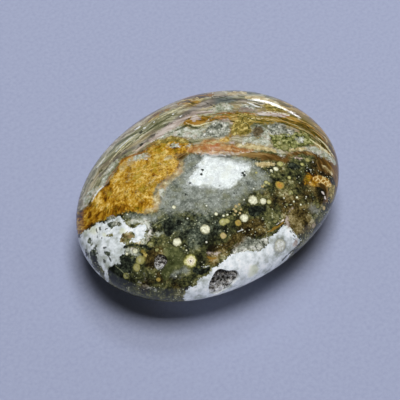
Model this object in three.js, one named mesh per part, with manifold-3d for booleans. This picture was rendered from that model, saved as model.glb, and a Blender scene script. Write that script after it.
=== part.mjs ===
// Ocean jasper palm stone: one tumbled and polished oval pebble of orbicular jasper.
// Two small hollows in the polished skin are lined with crusts of quartz crystals.
//
// Frame: millimetres. +X runs along the stone's length, +Y across it and +Z up.
// The origin is on the table, under the middle of the stone.

import * as THREE from 'three';
import { mergeVertices } from 'three/addons/utils/BufferGeometryUtils.js';
import Module from 'manifold-3d';

// ---- driving dimensions of the pebble ----
const HALF_LENGTH = 33;        // along X
const HALF_WIDTH = 25.6;       // along Y
const CROWN = 11.5;            // height of the top above the waist
const BELLY = 10.65;           // depth of the underside below the waist, before the flat
const FLAT_DEPTH = 0.15;       // what wear has taken off the underside, which leaves the flat spot
const SIDE_ROUNDNESS = 2.2;    // 2 is a plain ellipse in section, more is fuller at the waist
const FACE_ROUNDNESS = 2.1;    // 2 is a plain ellipse in section, more is flatter on top
const PLAN_WAVES = [           // how the plan departs from an ellipse: times round, share, degrees
  { times: 3, share: 0.0112, at: 226.7 },
  { times: 4, share: 0.0065, at: 198.7 },
];
const SKIN_DETAIL = 15;        // subdivisions of each face of the icosahedron

// ---- driving dimensions of the hollows ----
// lon and lat say where on the pebble the hollow's middle is. Its mouth is a circle of the
// given radius with waves added, and its depth is below the pebble's skin.
const HOLLOWS = [
  {
    name: 'druzy_crust',
    lon: -115.1, lat: 11.7, radius: 3.17, depth: 3.2, crystals: 30, crystalRadius: 0.64,
    waves: [
      { times: 2, size: 0.44, at: 61 },
      { times: 3, size: 0.32, at: -7 },
      { times: 4, size: 0.14, at: 59 },
      { times: 5, size: 0.15, at: 80 },
    ],
  },
  {
    name: 'small_pit_crust',
    lon: -145.6, lat: 35.2, radius: 1.6, depth: 1.5, crystals: 7, crystalRadius: 0.42,
    waves: [
      { times: 2, size: 0.16, at: 150 },
      { times: 3, size: 0.1, at: 40 },
    ],
  },
];
const MOUTH_SEGMENTS = 24;     // corners round a hollow's mouth
const WALL_STEPS = 4;          // rings from a hollow's floor to its mouth
const HEADROOM = 2.2;          // how far a hollow's cutter stands clear of the skin
const SEAT_GAP = 0.3;          // space between a crust and the stone round it
const CRUST_WALL = 0.35;       // thickness of the crust that the crystals stand on
const CRYSTAL_SIDES = 6;       // quartz grows as six-sided points
const GOLDEN_ANGLE = THREE.MathUtils.degToRad(137.508);

const wasm = await Module();
wasm.setup();

const radians = THREE.MathUtils.degToRad;

// ---- mesh to solid and back ----

// Welds a three.js geometry, drops the empty triangles at its poles and makes it a solid.
function solidOf(geometry) {
  const bare = geometry.clone();
  bare.deleteAttribute('normal');
  bare.deleteAttribute('uv');
  const welded = mergeVertices(bare, 1e-5);
  const corners = welded.index.array;
  const faces = [];
  for (let i = 0; i < corners.length; i += 3) {
    const [a, b, c] = [corners[i], corners[i + 1], corners[i + 2]];
    if (a !== b && b !== c && c !== a) faces.push(a, b, c);
  }
  return new wasm.Manifold(new wasm.Mesh({
    numProp: 3,
    vertProperties: welded.attributes.position.array,
    triVerts: new Uint32Array(faces),
  }));
}

function geometryOf(solid) {
  const mesh = solid.getMesh();
  const geometry = new THREE.BufferGeometry();
  geometry.setAttribute('position', new THREE.BufferAttribute(mesh.vertProperties, mesh.numProp));
  geometry.setIndex(new THREE.BufferAttribute(mesh.triVerts, 1));
  return geometry;
}

// Moves every corner of a geometry to where place(corner) says.
function reshape(geometry, place) {
  const position = geometry.attributes.position;
  const corner = new THREE.Vector3();
  for (let i = 0; i < position.count; i += 1) {
    place(corner.fromBufferAttribute(position, i));
    position.setXYZ(i, corner.x, corner.y, corner.z);
  }
  return geometry;
}

// ---- the pebble ----

// A point on the pebble's skin, lowered along its own radius by inset. lon and lat are in radians.
function onSkin(lon, lat, inset = 0) {
  const plan = PLAN_WAVES.reduce(
    (sum, wave) => sum + wave.share * Math.cos(wave.times * lon - radians(wave.at)), 1);
  const reach = Math.max(Math.cos(lat), 0) ** (2 / SIDE_ROUNDNESS);
  const rise = Math.sign(lat) * Math.abs(Math.sin(lat)) ** (2 / FACE_ROUNDNESS);
  return new THREE.Vector3(
    (HALF_LENGTH - inset) * plan * reach * Math.cos(lon),
    (HALF_WIDTH - inset) * plan * reach * Math.sin(lon),
    ((rise > 0 ? CROWN : BELLY) - inset) * rise + BELLY - FLAT_DEPTH,
  );
}

function pebble(inset = 0) {
  const skin = reshape(new THREE.IcosahedronGeometry(1, SKIN_DETAIL), (corner) => {
    const lon = Math.atan2(corner.y, corner.x);
    const lat = Math.asin(THREE.MathUtils.clamp(corner.z, -1, 1));
    corner.copy(onSkin(lon, lat, inset));
  });
  const table = new THREE.BoxGeometry(3 * HALF_LENGTH, 3 * HALF_LENGTH, 2 * BELLY);
  table.translate(0, 0, -BELLY);
  return solidOf(skin).subtract(solidOf(table));
}

// ---- the hollows ----

// The matrix that stands a hollow on the skin: its own X runs level along the skin,
// its Y up the slope, and its Z straight out of the stone.
function seatOf(hollow) {
  const lon = radians(hollow.lon);
  const lat = radians(hollow.lat);
  const step = 1e-3;
  const centre = onSkin(lon, lat);
  const along = onSkin(lon + step, lat).sub(centre);
  const upward = onSkin(lon, lat + step).sub(centre);
  const out = along.cross(upward).normalize();
  const level = new THREE.Vector3(0, 0, 1).cross(out).normalize();
  const slope = new THREE.Vector3().crossVectors(out, level);
  return new THREE.Matrix4().makeBasis(level, slope, out).setPosition(centre);
}

function mouthRadius(hollow, angle) {
  return hollow.waves.reduce(
    (sum, wave) => sum + wave.size * Math.cos(wave.times * angle - radians(wave.at)),
    hollow.radius);
}

// How deep the hollow is, from 1 in the middle to 0 at the mouth. Its walls are steep.
function dish(share) {
  return Math.sqrt(Math.max(1 - share ** 3, 0));
}

// The hollow as a solid, made smaller all round by inset, reaching HEADROOM above the skin.
function cutter(hollow, inset) {
  const profile = [];
  for (let i = 0; i <= WALL_STEPS; i += 1) {
    const share = Math.sin((Math.PI / 2) * (i / WALL_STEPS));
    profile.push(new THREE.Vector2(share, -(hollow.depth - inset) * dish(share)));
  }
  profile.push(new THREE.Vector2(1, HEADROOM), new THREE.Vector2(0, HEADROOM));
  const shape = new THREE.LatheGeometry(profile, MOUTH_SEGMENTS);
  shape.rotateX(Math.PI / 2);
  reshape(shape, (corner) => {
    const wide = mouthRadius(hollow, Math.atan2(corner.y, corner.x)) - inset;
    corner.x *= wide;
    corner.y *= wide;
  });
  return solidOf(shape.applyMatrix4(seatOf(hollow)));
}

// One quartz point: a six-sided prism with a pyramid on top, standing on its own origin.
function quartzPoint(radius, height) {
  const shoulder = height - 1.1 * radius;
  const profile = [
    new THREE.Vector2(0, 0),
    new THREE.Vector2(0.92 * radius, 0),
    new THREE.Vector2(radius, shoulder),
    new THREE.Vector2(0, height),
  ];
  return new THREE.LatheGeometry(profile, CRYSTAL_SIDES).rotateX(Math.PI / 2);
}

// A repeatable number from 0 to 1 for the crystal with this number.
function scatter(number, salt) {
  const wave = Math.sin(number * 12.9898 + salt * 78.233) * 43758.5453;
  return wave - Math.floor(wave);
}

// The crystals stand on a sunflower spiral from the floor's middle out to the walls,
// lean inwards there, and differ in size, turn and tilt.
function crystalsOf(hollow) {
  const points = [];
  for (let i = 0; i < hollow.crystals; i += 1) {
    const angle = i * GOLDEN_ANGLE;
    const share = 0.93 * Math.sqrt((i + 0.5) / hollow.crystals);
    const wide = (mouthRadius(hollow, angle) - SEAT_GAP) * share;
    const deep = -(hollow.depth - SEAT_GAP) * dish(share);
    const radius = hollow.crystalRadius * (0.75 + 0.5 * scatter(i, 1));
    const height = hollow.crystalRadius * (2 + 1.4 * scatter(i, 2));
    const lean = radians(62) * share ** 3 + radians(24) * (scatter(i, 3) - 0.5);
    const turn = new THREE.Matrix4().makeRotationZ(angle + radians(60) * scatter(i, 4));
    const tilt = new THREE.Matrix4().makeRotationAxis(
      new THREE.Vector3(Math.sin(angle), -Math.cos(angle), 0), lean);
    const place = new THREE.Matrix4().makeTranslation(
      wide * Math.cos(angle), wide * Math.sin(angle), deep);
    const crystal = quartzPoint(radius, height);
    crystal.applyMatrix4(place.multiply(tilt).multiply(turn)).applyMatrix4(seatOf(hollow));
    points.push(solidOf(crystal));
  }
  return wasm.Manifold.union(points);
}

// The largest closed body in a solid. Crumbs that a trim cuts off are left out, and so are
// the little sealed gaps between crystals, which come apart as bodies of negative volume.
function mainBody(solid) {
  return solid.decompose().reduce((best, body) => (body.volume() > best.volume() ? body : best));
}

// The crust: a thin lining with the crystals on it, kept just under the polished skin.
function crustOf(hollow) {
  const room = cutter(hollow, SEAT_GAP).intersect(pebble(SEAT_GAP));
  const lining = room.subtract(cutter(hollow, SEAT_GAP + CRUST_WALL));
  return mainBody(lining.add(crystalsOf(hollow).intersect(room)));
}

// ---- the pieces ----

const polishedJasper = new THREE.MeshStandardMaterial({
  color: 0x77714f, roughness: 0.12, metalness: 0,
});

function crystalMaterial() {
  return new THREE.MeshStandardMaterial({ color: 0xd9d8d2, roughness: 0.25, metalness: 0 });
}

function piece(name, solid, material) {
  const mesh = new THREE.Mesh(geometryOf(solid), material);
  mesh.name = name;
  return mesh;
}

const stone = HOLLOWS.reduce((rest, hollow) => rest.subtract(cutter(hollow, 0)), pebble());

const oceanJasper = new THREE.Group();
oceanJasper.add(piece('stone', stone, polishedJasper));
for (const hollow of HOLLOWS) {
  oceanJasper.add(piece(hollow.name, crustOf(hollow), crystalMaterial()));
}

// The waves in the plan move its ends a little, so the group is set back over the origin.
const middle = new THREE.Box3().setFromObject(oceanJasper).getCenter(new THREE.Vector3());
oceanJasper.position.set(-middle.x, -middle.y, 0);

export default oceanJasper;
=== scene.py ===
# %% [markdown]
# # A polished palm stone of ocean jasper
#
# This lesson makes one tumbled pebble of orbicular jasper. It is a single natural piece, so
# almost all of the work is in its markings: moss-green ground, honey-coloured and white
# patches, thin bands, and the round orbs that the stone is known for.
#
# The solid frame of the stone comes first. It gives the real size, and nothing made here may
# leave its box.

# %% Load the frame
import math

import bmesh
import bpy
import numpy as np
from mathutils import Matrix, Vector, noise
from mathutils.kdtree import KDTree


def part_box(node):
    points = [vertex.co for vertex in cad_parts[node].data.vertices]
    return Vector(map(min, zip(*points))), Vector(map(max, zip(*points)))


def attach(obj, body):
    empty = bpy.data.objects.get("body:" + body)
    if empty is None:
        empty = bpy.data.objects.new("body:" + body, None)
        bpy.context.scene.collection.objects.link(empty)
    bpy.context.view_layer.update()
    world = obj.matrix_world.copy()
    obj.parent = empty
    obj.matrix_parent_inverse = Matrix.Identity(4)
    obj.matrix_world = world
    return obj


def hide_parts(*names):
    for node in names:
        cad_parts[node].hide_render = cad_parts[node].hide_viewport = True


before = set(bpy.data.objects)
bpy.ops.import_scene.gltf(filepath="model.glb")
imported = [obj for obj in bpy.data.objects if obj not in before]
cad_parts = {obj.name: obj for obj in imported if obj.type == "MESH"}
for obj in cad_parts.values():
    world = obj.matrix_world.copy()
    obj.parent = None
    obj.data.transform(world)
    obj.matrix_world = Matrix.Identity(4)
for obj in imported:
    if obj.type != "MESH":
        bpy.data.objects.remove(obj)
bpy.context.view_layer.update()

MM = 0.001

# %% [markdown]
# ## The camera
#
# A camera is easiest to place the way a photographer does it: choose the point to look at, the
# direction to stand in, and how far back to step. A long lens from further away keeps the
# oval from being stretched. `to_track_quat` turns the camera so that its own -Z axis, the one
# it looks along, points back at the target.

# %% Camera
VIEW_AZIMUTH = math.radians(-37.9)
VIEW_ELEVATION = math.radians(55)
VIEW_DISTANCE = 306.1 * MM
VIEW_TARGET = Vector((1.82, 4.85, 0)) * MM
VIEW_LENS = 113.85

view_back = Vector((
    math.sin(VIEW_AZIMUTH) * math.cos(VIEW_ELEVATION),
    -math.cos(VIEW_AZIMUTH) * math.cos(VIEW_ELEVATION),
    math.sin(VIEW_ELEVATION)))
view_right = Vector((math.cos(VIEW_AZIMUTH), math.sin(VIEW_AZIMUTH), 0))
view_up = view_back.cross(view_right)

camera = bpy.data.objects.new("camera", bpy.data.cameras.new("camera"))
bpy.context.collection.objects.link(camera)
camera.data.lens = VIEW_LENS
camera.data.clip_start = 10 * MM
camera.location = VIEW_TARGET + view_back * VIEW_DISTANCE
camera.rotation_euler = view_back.to_track_quat("Z", "Y").to_euler()
bpy.context.scene.camera = camera
print("camera stands", round(camera.location.length / MM), "mm from the stone")

# %% [markdown]
# ## A helper for formulas in node trees
#
# Both Geometry Nodes and shaders do arithmetic with Math nodes, and a long formula soon takes
# dozens of them. This small class wraps an output socket, so that `a * b + 2` in Python adds
# the Multiply and Add nodes and links them. `node` adds any other kind of node, and `wire`
# adds one and gives its output, ready to be used in a formula.

# %% Wires: sockets that can be added and multiplied
def plug(tree, value, entry):
    """Links a wire to an input socket, or sets a plain value on it."""
    if isinstance(value, Wire):
        tree.links.new(value.socket, entry)
    else:
        entry.default_value = value


def node(tree, kind, entries=None, **settings):
    """Adds one node. entries maps input names or numbers to wires or plain values."""
    made = tree.nodes.new(kind)
    for name, value in settings.items():
        setattr(made, name, value)
    for name, value in (entries or {}).items():
        plug(tree, value, made.inputs[name])
    return made


def wire(tree, kind, entries=None, output=0, **settings):
    """Adds one node and gives the wire from its output with this number or name."""
    return Wire(tree, node(tree, kind, entries, **settings).outputs[output])


def math_wire(tree, operation, *values):
    return wire(tree, "ShaderNodeMath", dict(enumerate(values)), operation=operation)


def axes_of(tree, vector):
    """The x, y and z of a vector, as three wires."""
    split = node(tree, "ShaderNodeSeparateXYZ", {0: vector})
    return [Wire(tree, axis) for axis in split.outputs]


class Wire:
    """One output socket of a tree."""

    def __init__(self, tree, socket):
        self.tree, self.socket = tree, socket

    def math(self, operation, *others):
        return math_wire(self.tree, operation, self, *others)

    def __add__(self, other):
        return self.math("ADD", other)

    def __sub__(self, other):
        return self.math("SUBTRACT", other)

    def __mul__(self, other):
        return self.math("MULTIPLY", other)

    def __truediv__(self, other):
        return self.math("DIVIDE", other)

    def __pow__(self, other):
        return self.math("POWER", other)

    def __radd__(self, other):
        return self + other

    def __rsub__(self, other):
        return math_wire(self.tree, "SUBTRACT", other, self)

    def __rtruediv__(self, other):
        return math_wire(self.tree, "DIVIDE", other, self)


# %% Helpers that build a geometry tree and run it
def geometry_tree(name, inputs):
    """A new Geometry Nodes tree. inputs maps each input's name to its default number."""
    tree = bpy.data.node_groups.new(name, "GeometryNodeTree")
    tree.interface.new_socket("Geometry", in_out="INPUT", socket_type="NodeSocketGeometry")
    tree.interface.new_socket("Geometry", in_out="OUTPUT", socket_type="NodeSocketGeometry")
    for label, value in inputs.items():
        kind = "NodeSocketInt" if isinstance(value, int) else "NodeSocketFloat"
        tree.interface.new_socket(label, in_out="INPUT", socket_type=kind).default_value = value
    group = tree.nodes.new("NodeGroupInput")
    wires = {label: Wire(tree, group.outputs[label]) for label in ("Geometry", *inputs)}
    return tree, wires


def end_tree(tree, geometry, material):
    """Every tree ends in real faces that carry a material."""
    real = wire(tree, "GeometryNodeRealizeInstances", {"Geometry": geometry})
    painted = wire(tree, "GeometryNodeSetMaterial", {"Geometry": real, "Material": material})
    plug(tree, painted, tree.nodes.new("NodeGroupOutput").inputs[0])


def run_tree(tree, mesh, values=None):
    """Runs a tree on a mesh and gives the result as a plain mesh, with nothing live left."""
    carrier = bpy.data.objects.new("carrier", mesh)
    bpy.context.collection.objects.link(carrier)
    modifier = carrier.modifiers.new(tree.name, "NODES")
    modifier.node_group = tree
    for item in tree.interface.items_tree:
        if item.in_out == "INPUT" and item.name in (values or {}):
            modifier[item.identifier] = values[item.name]
    graph = bpy.context.evaluated_depsgraph_get()
    result = bpy.data.meshes.new_from_object(carrier.evaluated_get(graph))
    bpy.data.objects.remove(carrier)
    return result


def add_piece(name, mesh):
    piece = bpy.data.objects.new(name, mesh)
    bpy.context.collection.objects.link(piece)
    return piece


# %% Two materials, filled in later, and a helper for colours
def colour(code):
    """A hex colour as the linear numbers that Blender mixes light with."""
    parts = [int(code[i:i + 2], 16) / 255 for i in (0, 2, 4)]
    return [c / 12.92 if c <= 0.04045 else ((c + 0.055) / 1.055) ** 2.4 for c in parts]


stone_material = bpy.data.materials.new("polished ocean jasper")
quartz_material = bpy.data.materials.new("quartz crystals")

# %% [markdown]
# ## The skin of the pebble
#
# Tumbling wears a pebble to a rounded oval. A UV sphere would pinch at its poles, so this one
# starts as a cube of small squares, whose corners are pushed out to a ball. That leaves the
# squares nearly even all over.
#
# Where the pebble has a hollow, the squares are cut finer first, because an edge can't be
# sharper than the mesh that carries it.

# %% A ball of small squares
SQUARES_PER_SIDE = 116
HALF_LENGTH, HALF_WIDTH = 33 * MM, 25.6 * MM
CROWN, BELLY, FLAT_DEPTH = 11.5 * MM, 10.65 * MM, 0.15 * MM

# Where each hollow sits (degrees round and up), its mouth and depth in mm, and the waves that
# make its mouth uneven: times round, size in mm, degrees.
HOLLOWS = {
    "druzy_crust": {
        "lon": -115.1, "lat": 11.7, "radius": 3.17, "depth": 3.2,
        "waves": [(2, 0.44, 61), (3, 0.32, -7), (4, 0.14, 59), (5, 0.15, 80)]},
    "small_pit_crust": {
        "lon": -145.6, "lat": 35.2, "radius": 1.6, "depth": 1.5,
        "waves": [(2, 0.16, 150), (3, 0.1, 40)]},
}


def ball_direction(lon, lat):
    lon, lat = math.radians(lon), math.radians(lat)
    return Vector((math.cos(lat) * math.cos(lon), math.cos(lat) * math.sin(lon), math.sin(lat)))


def ball_tree():
    tree, wires = geometry_tree("ball of squares", {"Corners": SQUARES_PER_SIDE + 1})
    cube = node(tree, "GeometryNodeMeshCube", {"Size": (2, 2, 2)})
    for side in ("Vertices X", "Vertices Y", "Vertices Z"):
        plug(tree, wires["Corners"], cube.inputs[side])
    axes = axes_of(tree, wire(tree, "GeometryNodeInputPosition"))
    even = [(axis * (math.pi / 4)).math("TANGENT") for axis in axes]
    joined = wire(tree, "ShaderNodeCombineXYZ", dict(enumerate(even)))
    unit = wire(tree, "ShaderNodeVectorMath", {0: joined}, operation="NORMALIZE")
    moved = wire(tree, "GeometryNodeSetPosition", {
        "Geometry": Wire(tree, cube.outputs["Mesh"]), "Position": unit})
    end_tree(tree, moved, stone_material)
    return tree


ball = run_tree(ball_tree(), bpy.data.meshes.new("start"))
print("ball:", len(ball.vertices), "corners")

# %% Cut the squares finer where the hollows are
# An edge near a hollow is cut this many times. Near means within so many mouth radii.
FINE_CUTS, FINE_REACH = 2, 1.55
HALF_SIZES = np.array([HALF_LENGTH, HALF_WIDTH, (CROWN + BELLY) / 2])


def vectors_of(mesh, field="co"):
    """The corners of a mesh as rows of numbers, or their normals with field "normal"."""
    flat = np.empty(len(mesh.vertices) * 3)
    mesh.vertices.foreach_get(field, flat)
    return flat.reshape(-1, 3)


def move_corners(mesh, points):
    mesh.vertices.foreach_set("co", points.ravel())
    mesh.update()


def cut_finer(mesh, spots):
    """Cuts the faces near each spot, which is a direction on the ball and a reach in mm."""
    points = vectors_of(mesh)
    fine = np.zeros(len(points), bool)
    for centre, reach in spots:
        offset = (points - np.array(centre)) * (HALF_SIZES / MM)
        fine |= np.linalg.norm(offset, axis=1) < reach
    work = bmesh.new()
    work.from_mesh(mesh)
    work.verts.ensure_lookup_table()
    chosen = {e for i in np.flatnonzero(fine) for e in work.verts[int(i)].link_edges}
    bmesh.ops.subdivide_edges(work, edges=list(chosen), cuts=FINE_CUTS, use_grid_fill=True)
    for vert in work.verts:
        vert.co.normalize()
    work.to_mesh(mesh)
    work.free()
    return len(chosen)


spots = [(ball_direction(h["lon"], h["lat"]), FINE_REACH * h["radius"])
         for h in HOLLOWS.values()]
print("edges cut finer:", cut_finer(ball, spots))

# %% [markdown]
# ## The rule that makes a ball a pebble
#
# A superellipsoid is an ellipsoid whose sections can be a little fuller than an ellipse. Its
# formula takes the direction of each corner and gives the place on the skin. Two small waves
# round the plan keep the outline from being a perfect oval, and the underside ends at the
# flat spot that the stone rests on.
#
# A main shape that follows a rule suits Geometry Nodes: the sizes are inputs of the tree, and
# changing one reshapes the stone.

# %% The pebble's rule as a geometry tree
PEBBLE_SIZES = {
    "Half Length": HALF_LENGTH, "Half Width": HALF_WIDTH, "Crown": CROWN, "Belly": BELLY,
    "Flat Depth": FLAT_DEPTH, "Side Roundness": 2.2, "Face Roundness": 2.1,
    "Wave 3 Share": 0.0112, "Wave 3 Turn": math.radians(226.7),
    "Wave 4 Share": 0.0065, "Wave 4 Turn": math.radians(198.7)}


def pebble_tree():
    tree, size = geometry_tree("pebble rule", PEBBLE_SIZES)
    x, y, z = axes_of(tree, wire(tree, "GeometryNodeInputPosition"))
    lon = y.math("ARCTAN2", x)
    flat_reach = (1.0 - z * z).math("MAXIMUM", 1e-9) ** 0.5
    reach = flat_reach ** (2.0 / size["Side Roundness"])
    rise = z.math("ABSOLUTE") ** (2.0 / size["Face Roundness"])
    plan = (1.0 + size["Wave 3 Share"] * (lon * 3.0 - size["Wave 3 Turn"]).math("COSINE")
            + size["Wave 4 Share"] * (lon * 4.0 - size["Wave 4 Turn"]).math("COSINE"))
    above = z.math("GREATER_THAN", 0.0)
    height = rise * (above * size["Crown"] - (1.0 - above) * size["Belly"])
    height = (height + size["Belly"] - size["Flat Depth"]).math("MAXIMUM", 0.0)
    shape = wire(tree, "ShaderNodeCombineXYZ", {
        0: size["Half Length"] * plan * reach * (x / flat_reach),
        1: size["Half Width"] * plan * reach * (y / flat_reach),
        2: height})
    moved = wire(tree, "GeometryNodeSetPosition", {
        "Geometry": size["Geometry"], "Position": shape})
    end_tree(tree, moved, stone_material)
    return tree


directions = vectors_of(ball)
stone_mesh = run_tree(pebble_tree(), ball)
stone_mesh.name = "polished stone"

# The skin is set over the origin and brought to the exact box of the solid stone.
box_low, box_high = (np.array(corner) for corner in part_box("stone"))
skin = vectors_of(stone_mesh)
skin_low, skin_high = skin.min(axis=0), skin.max(axis=0)
skin = (skin - skin_low) * ((box_high - box_low) / (skin_high - skin_low)) + box_low
move_corners(stone_mesh, skin)
smooth_normals = vectors_of(stone_mesh, "normal")
print("pebble in mm:", np.round((skin.max(axis=0) - skin.min(axis=0)) / MM, 2))

# %% [markdown]
# ## Hollows and pits
#
# A vug is a hole that never filled with silica. Polishing opens it, so its edge is crisp and
# its walls are steep. Each corner of the mesh inside the mouth is pressed straight down by the
# depth of the dish at that place. A little noise makes the floor grainy.

# %% Press the hollows
# The floor's grain. Its octaves are: the share of each finer one, how much finer it is, and
# how many there are.
GRAIN_SIZE, GRAIN_HEIGHT, GRAIN_OCTAVES = 0.55 * MM, 0.16 * MM, (0.6, 2.0, 3)
# Corners lower than this under a mouth belong to the far skin and stay where they are.
FAR_SKIN_DEPTH = 6 * MM


def seat_at(direction):
    """Where a hollow sits: its centre on the skin, and level, slope and outward directions."""
    nearest = int(np.argmax(directions @ np.array(direction)))
    out = Vector(smooth_normals[nearest])
    level = Vector((0, 0, 1)).cross(out).normalized()
    return Vector(skin[nearest]), level, out.cross(level), out


def mouth_radius(hollow, angle):
    waves = sum(size * np.cos(times * angle - math.radians(turn))
                for times, size, turn in hollow["waves"])
    return (hollow["radius"] + waves) * MM


def press(points, hollow, seat):
    """Sinks the corners inside the mouth. Gives their numbers and how far out each one is."""
    centre, level, slope, out = (np.array(part) for part in seat)
    offset = points - centre
    across, up, height = offset @ level, offset @ slope, offset @ out
    share = np.hypot(across, up) / mouth_radius(hollow, np.arctan2(up, across))
    inside = np.flatnonzero((share < 1) & (height > -FAR_SKIN_DEPTH))
    dish = np.sqrt(1 - share[inside] ** 3)
    floor = -hollow["depth"] * MM * dish
    grain = np.array([noise.fractal(Vector(p / GRAIN_SIZE), *GRAIN_OCTAVES)
                      for p in points[inside]])
    grain = grain * GRAIN_HEIGHT * np.minimum(1, 3 * dish)
    sink = np.minimum(0, floor + grain - height[inside])
    points[inside] += sink[:, None] * out
    return inside, share[inside]


seats = {name: seat_at(ball_direction(h["lon"], h["lat"])) for name, h in HOLLOWS.items()}
stone_points = skin.copy()
hollow_corners = {name: press(stone_points, HOLLOWS[name], seats[name]) for name in HOLLOWS}
for name, (inside, share) in hollow_corners.items():
    print(name, "pressed", len(inside), "corners")

# %% [markdown]
# ## A drawing sheet for the markings
#
# The markings need a plan, as a map needs a grid. Think of a sheet of paper held square to the
# line of sight, with the outline of the stone drawn on it. Each corner of the skin is traced
# from the eye to the sheet and so gets two numbers, in millimetres: `sheet_x` to the right and
# `sheet_y` up the page.
#
# The far side of the stone would get a mirror image. To give it a pattern of its own, the sheet
# is turned and wrinkled more and more, the further a point lies behind the outline. At the
# outline itself nothing changes, so the markings run on round the edge without a seam.

# %% From the skin to the drawing sheet
SHEET_DISTANCE = 306.3
SHEET_CENTRE = (1.62, 1.09)
FAR_SIDE_TURN = math.radians(165)
WRINKLE_SIZE, WRINKLE_HEIGHT = 14 * MM, 10.0
# Blender seeds its vector noise from the clock, and so it would wrinkle the sheet differently
# in each run. A seed of its own keeps the far side the same.
WRINKLE_SEED = 1795516027


def far_share(points):
    """0 on the seen side and at the outline, and 1 at the middle of the far side."""
    waist = np.array([0, 0, BELLY - FLAT_DEPTH])
    weights = 1 / HALF_SIZES ** 2
    back = np.array(view_back)
    facing = ((points - waist) * weights) @ back
    return np.clip(-facing / math.sqrt((weights * back) @ back), 0, 1)


def sheet_of(points):
    offset = points - np.array(camera.location)
    depth = -(offset @ np.array(view_back))
    seen = np.stack([offset @ np.array(view_right), offset @ np.array(view_up)], axis=1)
    x, y = (seen / depth[:, None] * SHEET_DISTANCE - np.array(SHEET_CENTRE)).T
    far = far_share(points)
    turn = FAR_SIDE_TURN * far ** 2
    turned = np.stack([x * np.cos(turn) - y * np.sin(turn),
                       x * np.sin(turn) + y * np.cos(turn)], axis=1)
    hidden = np.flatnonzero(far > 0)
    noise.seed_set(WRINKLE_SEED)
    wrinkles = np.array([noise.noise_vector(Vector(p) / WRINKLE_SIZE)[:2] for p in points[hidden]])
    turned[hidden] += wrinkles * (WRINKLE_HEIGHT * far[hidden, None])
    return turned, far


sheet, far = sheet_of(skin)
front = np.flatnonzero(far == 0)
print("sheet reaches", np.round(sheet[front].min(axis=0), 1), "to",
      np.round(sheet[front].max(axis=0), 1), "mm")

# %% [markdown]
# ## Three kinds of mark
#
# A *patch* is a closed outline, a *band* is a line with a half width at each point, and an
# *orb* is a ball of mineral that the polished skin has cut through. For patches and bands the
# mesh stores a distance in millimetres: how far inside the mark a point is, or how far outside
# if it is negative. The shader turns a distance into an edge, and can make that edge ragged,
# crisp or soft at any scale. A painted image couldn't do that.

# %% Curves, and the distance to their steps
# Distances are cut off here, in mm. Long lists are worked through in parts of this many rows.
REACH_LIMIT = 5.0
PART_ROWS = 2000


def in_parts(rows):
    return np.array_split(rows, max(1, len(rows) // PART_ROWS))


def numbers(text):
    """Reads 'x y, x y' or 'x y w, x y w' as rows of numbers."""
    return np.array([[float(word) for word in row.split()] for row in text.split(",")])


def curve_through(points, closed, steps=5):
    """A Catmull-Rom curve through the points, as many short straight steps."""
    count = len(points)
    ends = points if closed else np.vstack([2 * points[0] - points[1], points,
                                            2 * points[-1] - points[-2]])
    pick = (lambda i: ends[i % count]) if closed else (lambda i: ends[i + 1])
    rows = []
    for i in range(count if closed else count - 1):
        a, b, c, d = pick(i - 1), pick(i), pick(i + 1), pick(i + 2)
        for t in np.arange(steps) / steps:
            rows.append(0.5 * (2 * b + (c - a) * t + (2 * a - 5 * b + 4 * c - d) * t ** 2
                               + (3 * b - a - 3 * c + d) * t ** 3))
    if not closed:
        rows.append(points[-1])
    return np.array(rows)


def near_steps(place, starts, ends):
    """For each place: the distance to each step, and how far along that step it is."""
    along = ends - starts
    length = np.maximum((along ** 2).sum(axis=1), 1e-12)
    offset = place[:, None, :] - starts[None]
    t = np.clip((offset * along).sum(axis=2) / length, 0, 1)
    return np.linalg.norm(offset - t[:, :, None] * along, axis=2), t


# %% How far inside a patch or a band each place is
def reach_near(place, line, reach_of):
    """reach_of(part) for the places near the line, and -REACH_LIMIT for all the others."""
    reach = np.full(len(place), -REACH_LIMIT)
    low, high = line.min(axis=0) - REACH_LIMIT, line.max(axis=0) + REACH_LIMIT
    near = np.flatnonzero(((place > low) & (place < high)).all(axis=1))
    for part in in_parts(near):
        reach[part] = reach_of(place[part])
    return np.maximum(reach, -REACH_LIMIT)


def patch_reach(place, text):
    line = curve_through(numbers(text), closed=True)
    ends = np.roll(line, -1, axis=0)
    rise = np.where(ends[:, 1] == line[:, 1], 1e-9, ends[:, 1] - line[:, 1])

    def reach_of(part):
        """A place is inside when a level ray from it crosses the outline an odd number of times."""
        x, y = part[:, 0:1], part[:, 1:2]
        distance = near_steps(part, line, ends)[0].min(axis=1)
        crosses = (line[:, 1] > y) != (ends[:, 1] > y)
        at = line[:, 0] + (y - line[:, 1]) * (ends[:, 0] - line[:, 0]) / rise
        inside = (crosses & (x < at)).sum(axis=1) % 2 == 1
        return np.where(inside, distance, -distance)

    return reach_near(place, line, reach_of)


def band_reach(place, text):
    line = curve_through(numbers(text), closed=False, steps=4)
    middle, width = line[:, :2], line[:, 2]

    def reach_of(part):
        distance, t = near_steps(part, middle[:-1], middle[1:])
        return (width[:-1] + t * (width[1:] - width[:-1]) - distance).max(axis=1)

    return reach_near(place, middle, reach_of)


# %% [markdown]
# ## The plan of the markings
#
# Here is the drawing itself, on the sheet, in millimetres. It was drawn with few points, as one
# would sketch the stone by hand. Each mineral has its patches and bands. A *hole* is a patch
# that is cut out of them again, and a *gap* is a band that is, so that what lies below shows
# through. The order in which the minerals are laid comes later, with their edges.

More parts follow.
